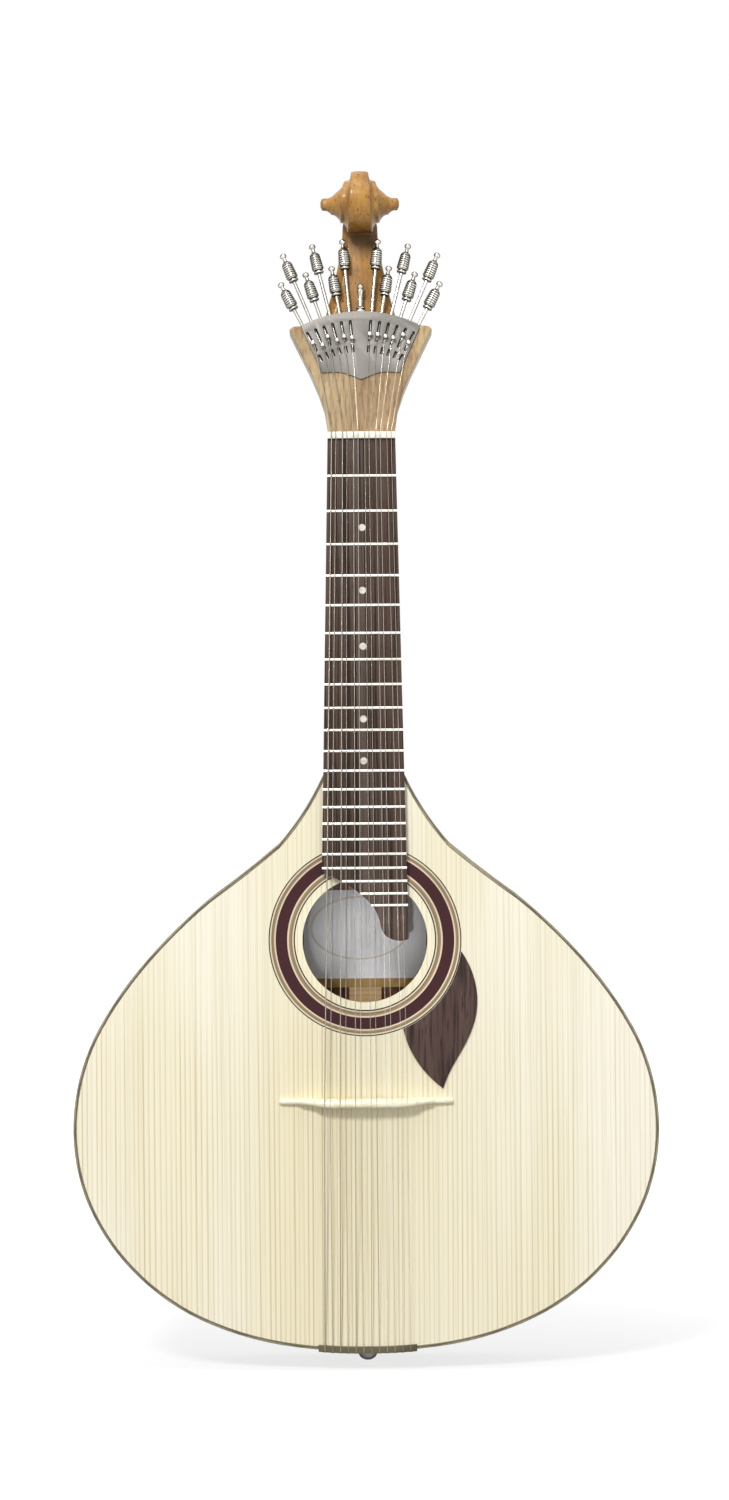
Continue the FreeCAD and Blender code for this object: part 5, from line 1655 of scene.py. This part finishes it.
@dataclass
class FanMachine(Part):
    """The plate, its trough, the finial, and twelve screws and hooks.

    Attributes:
        count: How many tuners there are.
        first_angle: Angle of the innermost rays from the middle.
        step_angle: Angle between neighbouring rays.
        screw_depth: How far behind the head's face the screws lie.
        plate_radius: Radius of the plate's rim round the rays' meeting place.
        long_place: Place of the long screws' knobs along their rays.
        short_place: Place of the short screws' knobs.
        hook_places: Place of each hook along its ray.
        sides: How many sides the turned pieces have.
        screw_start: Place of the screws' lower ends.
        shoulder_start: Place where a screw's shoulder starts.
        shoulder_end: Place where it ends.
        screw_radius: Radius over a screw's thread.
        shoulder_radius: Radius of its shoulder.
        core_sink: How far the core lies below the thread, at its lower end and at the shoulder.
        thread_margin: How much of the core is bare at each end of the thread.
        thread_pitch: Distance between two turns of the thread.
        thread_sink: How far the middle of its ridge lies below its radius.
        thread_wire: Half the ridge's thickness.
        knob: Profile of a knob from its foot: place, radius and finish.
        bead_start: Place of its beads from its foot.
        bead_length: Length of a bead.
        bead_count: How many beads it has.
        bead_low: Radius of the lowest bead.
        bead_high: Radius of the highest one.
        bead_shape: Profile of a bead: share of its length, and depth below its radius.
        groove_from: Share of a bead's length where its groove starts, with the groove's painted shade.
        cap: Profile of the knob's tip: place from its foot, and radius.
        post: Profile of a hook's post and bead: radius, and distance before the head's face.
        runner: Half width and half length of a hook's runner, and how far behind the head's face it lies.
        finial: Profile of the finial from the rim: place and radius.
    """

    count: int = 12
    first_angle: float = 5.0
    step_angle: float = 4.35
    screw_depth: float = 3.4
    plate_radius: float = 86.0
    long_place: float = 117.0
    short_place: float = 99.3
    hook_places: tuple[float, ...] = (
        71.3, 67.2, 71.4, 67.2, 68.7, 67.2, 69.7, 69.9, 69.7, 70.1, 74.4, 71.0,
    )
    sides: int = 24
    screw_start: float = 54.35
    shoulder_start: float = 82.6
    shoulder_end: float = 83.6
    screw_radius: float = 1.1
    shoulder_radius: float = 1.8
    core_sink: tuple[float, float] = (0.15, 0.1)
    thread_margin: float = 0.5
    thread_pitch: float = 1.0
    thread_sink: float = 0.06
    thread_wire: float = 0.17
    # The groove rows give the knob's foot and its collar's groove the darker metal as painted shade.
    knob: tuple[tuple[float, float, Finish], ...] = (
        (0.0, 1.15, Finish.GROOVE_SHADE),
        (0.0, 2.7, Finish.GROOVE_SHADE),
        (0.25, 3.3, Finish.ROD),
        (0.8, 3.45, Finish.ROD),
        (1.2, 3.3, Finish.GROOVE_SHADE),
        (1.3, 2.5, Finish.GROOVE_SHADE),
        (2.3, 2.5, Finish.GROOVE_SHADE),
        (2.4, 3.4, Finish.NICKEL),
        (2.9, 3.85, Finish.NICKEL),
    )
    bead_start: float = 3.1
    bead_length: float = 1.55
    bead_count: int = 6
    bead_low: float = 4.15
    bead_high: float = 3.75
    bead_shape: tuple[tuple[float, float], ...] = (
        (0.0, 0.42), (0.16, 0.08), (0.45, 0.0), (0.7, 0.08), (0.84, 0.42),
    )
    groove_from: float = 0.8
    cap: tuple[tuple[float, float], ...] = (
        (12.7, 3.5), (13.6, 3.1), (14.4, 2.3), (14.8, 1.7), (15.1, 1.45), (16.1, 1.3), (17.3, 1.05),
        (17.7, 1.3), (18.2, 2.0), (18.9, 2.3), (19.7, 2.25), (20.4, 1.8), (20.9, 1.0), (21.1, 0.0),
    )
    post: tuple[tuple[float, float], ...] = (
        (0.0, -1.4), (0.72, -1.4), (0.72, 1.2), (0.95, 1.5), (0.72, 1.8), (0.72, 2.9), (1.05, 3.05),
        (1.4, 3.4), (1.6, 3.95), (1.6, 4.5), (1.38, 5.05), (0.95, 5.45), (0.0, 5.65),
    )
    runner: tuple[float, float, float, float] = (1.8, 2.5, 1.0, 5.8)
    finial: tuple[tuple[float, float], ...] = (
        (0.0, 3.4), (1.0, 3.7), (1.6, 3.4), (2.0, 2.2), (2.6, 2.1), (3.0, 2.9), (3.6, 3.0),
        (4.2, 2.5), (4.6, 2.0), (7.0, 1.75), (10.0, 1.6), (13.0, 1.8), (14.6, 2.3), (15.6, 2.45),
        (16.4, 2.3), (16.9, 1.7), (17.3, 1.7), (17.8, 2.2), (18.8, 2.3), (19.8, 1.7), (20.4, 0.0),
    )

    def build(self) -> None:
        """Builds the whole machine."""
        self.refine("face_plate", "fan_plate", Finish.PLATE, 0.18)
        self.refine("trough", "fan_housing", Finish.TROUGH, 0.12)
        self.build_finial()
        thread = self.thread_tree()
        for index in range(self.count):
            self.build_screw(index, thread)
            self.build_hook(index)

    def angle(self, index: int) -> float:
        """Angle of a tuner's ray."""
        side = index - self.count // 2
        if side >= 0:
            return self.first_angle + self.step_angle * side
        return -self.first_angle + self.step_angle * (side + 1)

    def knob_place(self, index: int) -> float:
        """Place of a knob's foot: long and short screws alternate from the middle."""
        from_middle = index - self.count // 2 if index >= self.count // 2 else self.count // 2 - 1 - index
        return self.long_place if from_middle % 2 == 0 else self.short_place

    def thread_tree(self) -> GeometryTree:
        """Makes the tree that winds a thread round a screw."""
        number = "NodeSocketFloat"
        length = self.shoulder_start - self.screw_start - 2 * self.thread_margin
        tree = GeometryTree(
            "screw_thread",
            {
                "Start": (number, self.screw_start + self.thread_margin),
                "Length": (number, length),
                "Turns": (number, length / self.thread_pitch),
                "Radius": (number, self.screw_radius - self.thread_sink),
                "Wire": (number, self.thread_wire),
            },
        )
        helix = tree.node(
            "GeometryNodeCurveSpiral",
            {
                "Resolution": 12,
                "Rotations": tree.given("Turns"),
                "Start Radius": tree.given("Radius"),
                "End Radius": tree.given("Radius"),
                "Height": tree.given("Length"),
            },
        )
        section = {"Resolution": 4, "Radius": tree.given("Wire")}
        profile = tree.node("GeometryNodeCurvePrimitiveCircle", section)
        ridge = tree.node(
            "GeometryNodeCurveToMesh",
            {"Curve": helix.outputs[0], "Profile Curve": profile.outputs[0], "Fill Caps": True},
        )
        up = tree.node("ShaderNodeCombineXYZ", {2: tree.given("Start")})
        lift = {"Geometry": ridge.outputs[0], "Translation": up.outputs[0]}
        placed = tree.node("GeometryNodeTransform", lift)
        tree.close(placed.outputs[0], Finish.SCREW)
        return tree

    def on_screw(self, index: int) -> Matrix:
        """Frame whose Z axis is a screw's axis."""
        return FRAMES.ray(self.angle(index)) @ Matrix.Translation((0, self.screw_depth, 0))

    def turned_piece(
        self, name: str, profile: Sequence[tuple[float, float, Finish]], place: Matrix
    ) -> Piece:
        """Turns a piece whose finish changes along its profile.

        Args:
            name: Its name.
            profile: Place, radius, and the finish of the stretch up to the next place.
            place: The frame whose Z axis it is turned about.

        Returns:
            The new piece.
        """
        finishes = list(dict.fromkeys(finish for _, _, finish in profile))
        mesh = lathe([(radius, along) for along, radius, _ in profile], self.sides)
        piece = object_of(name, mesh, place, material_of(finishes[0]), crease=40)
        for finish in finishes[1:]:
            piece.data.materials.append(material_of(finish))
        for face, polygon in enumerate(piece.data.polygons):
            polygon.material_index = finishes.index(profile[face // self.sides][2])
        return piece

    def build_screw(self, index: int, thread: GeometryTree) -> None:
        """Builds a screw with its thread, shoulder and knob.

        Args:
            index: Which tuner.
            thread: The tree that winds its thread.
        """
        foot = self.knob_place(index)
        profile: list[tuple[float, float, Finish]] = [
            (self.screw_start, 0.0, Finish.SCREW),
            (self.screw_start, self.screw_radius - self.core_sink[0], Finish.SCREW),
            (self.shoulder_start, self.screw_radius - self.core_sink[1], Finish.SCREW),
            (self.shoulder_start, self.shoulder_radius, Finish.SCREW),
            (self.shoulder_end, self.shoulder_radius, Finish.ROD),
            (self.shoulder_end, self.screw_radius, Finish.ROD),
        ]
        profile += [(foot + along, radius, finish) for along, radius, finish in self.knob]
        for bead in range(self.bead_count):
            start = foot + self.bead_start + bead * self.bead_length
            share = bead / (self.bead_count - 1)
            radius = self.bead_low + (self.bead_high - self.bead_low) * share
            for at, sunk in self.bead_shape:
                # The dip at each bead's end gets the darker metal as painted shade.
                finish = Finish.GROOVE_SHADE if at > self.groove_from else Finish.NICKEL
                profile.append((start + at * self.bead_length, radius - sunk, finish))
        profile += [(foot + along, radius, Finish.NICKEL) for along, radius in self.cap]
        number = f"{index + 1:02d}"
        piece = self.turned_piece(f"tuner_{number}", profile, self.on_screw(index))
        ridge = thread.run(empty_piece(f"thread_{number}"))
        ridge.data.transform(self.on_screw(index))
        self.fit(joined(piece, ridge), f"screw_{number}", f"tuner_screw_{number}", slot="knob_nickel")

    def build_hook(self, index: int) -> None:
        """Builds a runner on its screw, with its post and bead.

        Args:
            index: Which tuner.
        """
        place = FRAMES.ray(self.angle(index)) @ Matrix.Translation((0, 0, self.hook_places[index]))
        forward = Matrix.Rotation(math.radians(90), 4, "X")
        post = moved(lathe(self.post, self.sides), forward)
        half, length, near, far = self.runner
        runner = loft(
            [
                [(x, y, z) for x, y in ((-half, near), (half, near), (half, far), (-half, far))]
                for z in (-length, length)
            ]
        )
        number = f"{index + 1:02d}"
        runner_piece = object_of(f"runner_{number}", runner, place, material_of(Finish.HOOK))
        bevelled(runner_piece, width=0.35)
        post_piece = object_of(f"hook_{number}", post, place, material_of(Finish.HOOK), crease=45)
        piece = joined(post_piece, runner_piece)
        self.fit(piece, f"hook_{number}", f"tuner_hook_{number}", slot="hook_nickel")

    def build_finial(self) -> None:
        """Builds the small turned post on the middle of the rim."""
        place = FRAMES.ray(0.0) @ Matrix.Translation((0, self.screw_depth, self.plate_radius))
        profile = [(0.0, 0.0)] + [(radius, along) for along, radius in self.finial]
        piece = object_of("finial", lathe(profile, self.sides), place, material_of(Finish.ROD), crease=45)
        self.fit(piece, "root", "fan_finial", slot="machine_steel")


# Strings, bridge and tail


@dataclass
class Strings(Part):
    """Six courses of two strings from their hooks to their pins.

    Attributes:
        machine: The machine whose hooks they hang on.
        board: The board that they run over.
        radii: Radius of each string.
        wound_count: How many strings from the left may be wound.
        wound_from: Radius from which they are.
        nut_pitch: Distance between two courses at the nut.
        nut_pair: Distance between a course's two strings there.
        nut_lead: How far above the nut a string turns towards its hook.
        bridge_pitch: Distance between two courses at the bridge.
        bridge_pair: Distance between a course's two strings there.
        bridge_height: Height of the strings over the soundboard there.
        over_board: Height of the strings over the board at the nut.
        over_plate: Height of their loops over the head's face.
        loop_turn: How far a loop reaches round its post to each side, in degrees.
        loop_steps: How many stretches a loop has.
        post_radius: Radius of the hooks' posts, with a little room.
        twist: Where a string's twisted end starts and ends below its post.
        twist_share: The twist's radius as a share of the string's.
        tail_pitch: Distance between two strings at the tail.
        tail_radius: Radius of the tail's edge.
        guard_front: How far the guard stands before the soundboard, with a little room.
        guard_corner: How far above the guard's lower edge a string turns round it.
        pin_depth: Depth of the pins' middle.
        pin_reach: How far before and below it a string ends.
        ease: How far from a bend a string starts to turn.
        sides: How many sides a string has, and how many its loop has.
    """

    machine: FanMachine
    board: Board
    radii: tuple[float, ...] = (0.42, 0.24, 0.36, 0.2, 0.3, 0.17, 0.21, 0.21, 0.15, 0.15, 0.13, 0.13)
    wound_count: int = 8
    wound_from: float = 0.2
    nut_pitch: float = 7.37
    nut_pair: float = 2.9
    nut_lead: float = 4.5
    bridge_pitch: float = 10.3
    bridge_pair: float = 3.7
    bridge_height: float = 11.0
    over_board: float = 1.4
    over_plate: float = 1.9
    loop_turn: float = 150.0
    loop_steps: int = 12
    post_radius: float = 0.75
    twist: tuple[float, float] = (1.4, 3.2)
    twist_share: float = 1.35
    tail_pitch: float = 5.2
    tail_radius: float = 220.0
    guard_front: float = 1.35
    guard_corner: float = 0.4
    pin_depth: float = 19.0
    pin_reach: tuple[float, float] = (1.3, 1.5)
    ease: float = 0.8
    sides: tuple[int, int] = (10, 8)

    def build(self) -> None:
        """Builds every string."""
        for index in range(self.machine.count):
            self.build_string(index)

    def across(self, index: int, pitch: float, pair: float) -> float:
        """Distance of a string from the middle where courses are grouped in pairs."""
        course, second = divmod(index, 2)
        return (course - 2.5) * pitch + (second - 0.5) * pair

    def depth(self, across: float, height: float) -> float:
        """Depth of the board's camber raised by a height."""
        radius = self.board.camber + height
        return self.board.camber - self.board.thickness - math.sqrt(radius ** 2 - across ** 2)

    def tail_edge(self, across: float) -> float:
        """Height of the tail's edge at a distance from the middle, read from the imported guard."""
        low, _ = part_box("tail_guard")
        place = FRAMES.guitar().inverted() @ Vector((0, 0, low.z))
        sag = across ** 2 / (2 * self.tail_radius)
        return place.z + sag

    def build_string(self, index: int) -> None:
        """Builds one string with its loop round the hook's post and the pin.

        Args:
            index: Which string, from the left.
        """
        radius = self.radii[index]
        to_guitar = FRAMES.guitar().inverted() @ FRAMES.ray(self.machine.angle(index))
        post = Vector((0, -self.over_plate, self.machine.hook_places[index]))
        loop = []
        reach = self.post_radius + radius
        for step in range(self.loop_steps + 1):
            turn = math.radians(-self.loop_turn + 2 * self.loop_turn * step / self.loop_steps)
            loop.append(to_guitar @ (post + Vector((reach * math.sin(turn), 0, reach * math.cos(turn)))))
        twist_start, twist_end = self.twist
        tail_of_loop = to_guitar @ (post + Vector((0, 0, -twist_end)))
        string_sides, loop_sides = self.sides
        nut = self.across(index, self.nut_pitch, self.nut_pair)
        bridge = self.across(index, self.bridge_pitch, self.bridge_pair)
        tail = (index - (self.machine.count - 1) / 2) * self.tail_pitch
        at_nut = Vector((nut, self.depth(nut, self.over_board), 0))
        rise = self.bridge_height - self.board.thickness
        at_bridge = Vector((bridge, self.depth(bridge, rise) + radius / 2, -self.board.scale))
        edge = self.tail_edge(tail)
        corner = Vector((tail, -self.guard_front - radius, edge + self.guard_corner - radius))
        pin_before, pin_below = self.pin_reach
        pin = Vector((tail, self.pin_depth - pin_before, edge - pin_below))
        over_nut = at_nut + Vector((0, 0, self.nut_lead))
        path = self.eased([tail_of_loop, over_nut, at_nut, at_bridge, corner, pin], self.ease)
        line = tube(path, radius, string_sides)
        ring = tube(loop, radius, loop_sides)
        twisted = [to_guitar @ (post + Vector((0, 0, -twist_start))), tail_of_loop]
        twist = tube(twisted, radius * self.twist_share, loop_sides)
        wound = index < self.wound_count and radius >= self.wound_from
        finish = Finish.WINDING if wound else Finish.STRING
        number = f"{index + 1:02d}"
        mesh = merged([line, ring, twist])
        piece = object_of(f"string_{number}", mesh, FRAMES.guitar(), material_of(finish), crease=60)
        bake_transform(piece)
        course = f"string_course_{index // 2 + 1}"
        if index % 2:
            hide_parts(course)
        LOG.info("string_%s: %d faces, follows hook_%s", number, len(piece.data.polygons), number)

    def eased(self, bends: Sequence[Vector], reach: float) -> list[Vector]:
        """Rounds the bends of a path.

        Args:
            bends: Its corners.
            reach: How far from each corner the rounding starts.

        Returns:
            Points of the rounded path.
        """
        path = [bends[0]]
        for before, bend, after in zip(bends, bends[1:], bends[2:]):
            start = bend + (before - bend).normalized() * reach
            end = bend + (after - bend).normalized() * reach
            path += [start, (start + end + bend * 2) / 4, end]
        path.append(bends[-1])
        return path


@dataclass
class BridgeAndTail(Part):
    """The bridge, and the fittings of the tail.

    Attributes:
        metal_round: How far the metal's edges are rounded.
        scale: The strings' sounding length.
        camber: Radius of the bridge's crown.
        bridge_half: Half the bridge's width.
        bridge_high: How far the bridge reaches above its line.
        bridge_low: How far its feet reach below that line.
        bridge_height: Height of its crown.
        crown_half: Half width of the crown.
        feet: Profile from the crown's end outwards: distance from the middle, and height.
        belly: Half width where the thicker middle starts to thin, and the width over which it does.
        belly_thick: How much thicker the middle is below.
        top_lean: How far each side leans in towards the top.
        top_round: How far the top's edges are rounded.
        end_round: Length and depth of the rounding at the feet's ends.
        waist: Share of the height where a side starts to lean in.
        arch_half: Half width of the arch under it.
        arch_height: Height of that arch.
        button_depth: Depth of the strap button behind the soundboard.
        body_bottom: Height of the body's lower end.
        button: Profile of the strap button: radius and distance from the body.
    """

    metal_round: float = 0.2
    scale: float = 443.0
    camber: float = 300.0
    bridge_half: float = 58.0
    bridge_high: float = 2.8
    bridge_low: float = 1.2
    bridge_height: float = 11.0
    crown_half: float = 33.0
    feet: tuple[tuple[float, float], ...] = ((35.0, 7.0), (43.0, 5.8), (46.0, 3.4), (58.0, 2.8))
    belly: tuple[float, float] = (22.0, 24.0)
    belly_thick: float = 2.7
    top_lean: float = 1.3
    top_round: float = 0.8
    end_round: tuple[float, float] = (1.2, 0.5)
    waist: float = 0.45
    arch_half: float = 30.0
    arch_height: float = 2.4
    button_depth: float = 43.0
    body_bottom: float = -609.4
    button: tuple[tuple[float, float], ...] = (
        (0.0, 0.0), (5.6, 0.0), (5.6, 0.6), (4.7, 1.8), (4.1, 3.4), (4.3, 5.0), (5.4, 6.4),
        (6.5, 7.0), (6.65, 7.5), (6.3, 8.8), (5.5, 10.2), (4.3, 11.3), (2.6, 12.2), (1.2, 12.5),
        (0.0, 12.6),
    )

    def build_bridge(self) -> None:
        """Builds the bridge: thin feet, and a crown whose middle is thicker below."""
        rings = []
        steps = round(self.bridge_half * 2)
        for step in range(steps + 1):
            x = -self.bridge_half + self.bridge_half * 2 * step / steps
            across = abs(x)
            rise = self.bridge_rise(across)
            under = max(self.arch_height * (1 - (x / self.arch_half) ** 2), 0.0)
            belly_half, belly_fade = self.belly
            middle = 1 - min(max((across - belly_half) / belly_fade, 0.0), 1.0)
            middle = middle * middle * (3 - 2 * middle)
            low = -self.bridge_low - self.belly_thick * middle
            high = self.bridge_high
            lean = min(rise / self.bridge_height, 1.0) * self.top_lean
            end_length, end_depth = self.end_round
            end = min((self.bridge_half - across) / end_length, 1.0)
            high_end = high - (1 - end) * end_depth
            low_end = low + (1 - end) * end_depth
            round_top = min(self.top_round, rise * 0.3)
            section = [
                (-under, high_end),
                (-under, low_end),
                (-rise * self.waist, low_end + 0.1),
                (-rise + round_top, low_end + lean),
                (-rise, low_end + lean + round_top),
                (-rise, high_end - lean - round_top),
                (-rise + round_top, high_end - lean),
                (-rise * self.waist, high_end - 0.1),
            ]
            rings.append([(x, y, -self.scale + z) for y, z in section])
        bone = material_of(Finish.BRIDGE)
        piece = object_of("bridge_bone", loft(rings), FRAMES.guitar(), bone, crease=50)
        bevelled(piece, width=0.25, angle=50)
        self.fit(piece, "root", "bridge", slot="bone")

    def bridge_rise(self, across: float) -> float:
        """Gives the bridge's height: a cambered crown between two steps and thin feet.

        Args:
            across: Distance from its middle.

        Returns:
            The height there.
        """
        if across < self.crown_half:
            return self.bridge_height - across ** 2 / 2 / self.camber
        crown_end = self.bridge_height - self.crown_half ** 2 / 2 / self.camber
        table = ((self.crown_half, crown_end), *self.feet)
        for (start, high), (end, low) in zip(table, table[1:]):
            if across <= end:
                share = (across - start) / (end - start)
                share = share * share * (3 - 2 * share)
                return high + (low - high) * share
        return table[-1][1]

    def build(self) -> None:
        """Builds and dresses the pieces."""
        self.build_bridge()
        self.refine("edge_guard", "tail_guard", Finish.TAIL, self.metal_round)
        self.refine("pin_plate", "tailpiece", Finish.TAIL, self.metal_round)
        self.dress(Finish.DARK_TAIL, "tail_screws")
        place = FRAMES.guitar() @ Matrix.Translation((0, self.button_depth, self.body_bottom))
        place = place @ Matrix.Rotation(math.pi, 4, "X")
        piece = object_of("button", lathe(self.button, 40), place, material_of(Finish.DARK_TAIL), crease=45)
        self.fit(piece, "root", "strap_button", slot="tail_metal")


# Camera, floor and light


@dataclass
class Studio:
    """The camera where the photograph was taken from, the white floor and the soft light.

    Attributes:
        distance: From the camera to the soundboard, in metres.
        seen_height: Height of the picture at the soundboard.
        aim: Place in the guitar's frame at the picture's middle.
        roll: How far the guitar leans to the left in the picture, in degrees.
        floor_height: Height of the floor.
        world_light: How strongly the white surroundings light the guitar.
        lamps: For each lamp its name, place, size and power.
        spot_place: Place of the narrow lamp for the label.
        spot_aim: Where it points.
        spot_power: Its power.
        spot_radius: Radius of its light at the label.
        floor_grey: Lightness of the floor where light falls on it.
        floor_glow: How bright the floor is by itself where it is seen, under the guitar and far from it.
        glow_reach: Distances from the guitar between which that changes.
        floor_half: Half the floor's width.
    """

    distance: float = 2.5
    seen_height: float = 1.002
    aim: Point = (0.0006, -0.0119, -0.2223)
    roll: float = 0.41
    floor_height: float = -0.6372
    world_light: float = 0.47
    lamps: tuple[tuple[str, Point, float, float], ...] = (
        ("key", (-1.2, -3.6, 2.6), 0.9, 146.0),
        ("fill", (2.4, -3.0, -0.2), 2.0, 22.0),
        ("top", (0.0, -0.45, 1.5), 0.9, 8.0),
    )
    spot_place: Point = (-0.12, -2.4, -0.42)
    spot_aim: Point = (0.0, 0.0, -0.349)
    spot_power: float = 68.0
    spot_radius: float = 0.036
    floor_glow: tuple[float, float] = (0.77, 1.0)
    glow_reach: tuple[float, float] = (0.24, 0.6)
    floor_grey: float = 0.32
    floor_half: float = 12.0

    def build(self) -> None:
        """Builds the camera, the floor, the world and the lamps."""
        self.build_camera()
        self.build_world()
        self.build_floor()
        for name, place, size, power in self.lamps:
            data = bpy.data.lights.new(name, "AREA")
            data.size = size
            data.energy = power
            self.hang(name, data, place, self.aim)
        self.build_spot()

    def hang(self, name: str, data: bpy.types.Light, place: Point, aim: Point) -> None:
        """Hangs a lamp.

        Args:
            name: Its name.
            data: Its light.
            place: Where it hangs.
            aim: Where it points.
        """
        lamp = linked(name, data)
        lamp.location = place
        lamp.rotation_mode = "QUATERNION"
        lamp.rotation_quaternion = (Vector(aim) - Vector(place)).to_track_quat("-Z", "Y")

    def build_spot(self) -> None:
        """Places the narrow lamp beside the camera that lights the label through the soundhole."""
        data = bpy.data.lights.new("hole_spot", "SPOT")
        way = Vector(self.spot_aim) - Vector(self.spot_place)
        data.spot_size = 2 * math.atan(self.spot_radius / way.length)
        data.spot_blend = 0.25
        data.shadow_soft_size = 0.02
        data.energy = self.spot_power
        self.hang("hole_spot", data, self.spot_place, self.spot_aim)

    def build_camera(self) -> None:
        """Places the camera."""
        data = bpy.data.cameras.new("camera")
        data.sensor_width = 36.0
        data.lens = data.sensor_width * self.distance / self.seen_height
        camera = linked("camera", data)
        aim = Vector(self.aim)
        facing = Matrix.Rotation(math.pi / 2, 4, "X")
        turned = Matrix.Rotation(math.radians(self.roll), 4, "Y")
        camera.matrix_world = Matrix.Translation(aim - Vector((0, self.distance, 0))) @ turned @ facing
        bpy.context.scene.camera = camera

    def seen_directly(self, tree: Tree) -> Socket:
        """Masks the rays that show the background: from the camera, in a reflection, or through glass."""
        path = tree.nodes.new("ShaderNodeLightPath")
        rays = maths(tree, "MAXIMUM", path.outputs["Is Camera Ray"], path.outputs["Is Glossy Ray"])
        return maths(tree, "MAXIMUM", rays, path.outputs["Is Transmission Ray"])

    def build_world(self) -> None:
        """Makes the surroundings white where they are seen, and softer where they light the guitar."""
        world = bpy.data.worlds.new("surroundings")
        bpy.context.scene.world = world
        world.use_nodes = True
        tree = world.node_tree
        background = tree.nodes["Background"]
        background.inputs["Color"].default_value = (1, 1, 1, 1)
        strength = ranged(tree, self.seen_directly(tree), 0, 1, self.world_light, 1.0)
        tree.links.new(strength, background.inputs["Strength"])

    def build_floor(self) -> None:
        """Makes the white floor, which keeps the guitar's shadow."""
        half = self.floor_half
        corners = ((-half, -half), (half, -half), (half, half), (-half, half))
        data = bpy.data.meshes.new("floor")
        data.from_pydata([(x, y, self.floor_height) for x, y in corners], [], [(0, 1, 2, 3)])
        floor = linked("floor", data)
        material, tree, shader, place = new_material("floor_paper")
        shader.inputs["Base Color"].default_value = (*[self.floor_grey] * 3, 1.0)
        shader.inputs["Roughness"].default_value = 0.9
        shader.inputs["Specular IOR Level"].default_value = 0.0
        shader.inputs["Emission Color"].default_value = (1, 1, 1, 1)
        away = distance(tree, place, (0.0, 0.0, self.floor_height))
        level = ranged(tree, away, *self.glow_reach, *self.floor_glow)
        glow = times(tree, self.seen_directly(tree), level)
        tree.links.new(glow, shader.inputs["Emission Strength"])
        data.materials.append(material)


def main() -> None:
    """Builds the whole scene."""
    logging.basicConfig(level=logging.INFO, format="%(message)s")
    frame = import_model()
    Studio().build()
    make_grain_group()
    make_handling_group()
    make_brushing_group()
    body = Body(frame)
    board = Board(frame)
    machine = FanMachine(frame)
    for part in (body, board, Head(frame), machine, Strings(frame, machine, board), BridgeAndTail(frame)):
        part.build()
    scene = bpy.context.scene
    scene.view_settings.view_transform = "Standard"


if __name__ == "__main__":
    main()
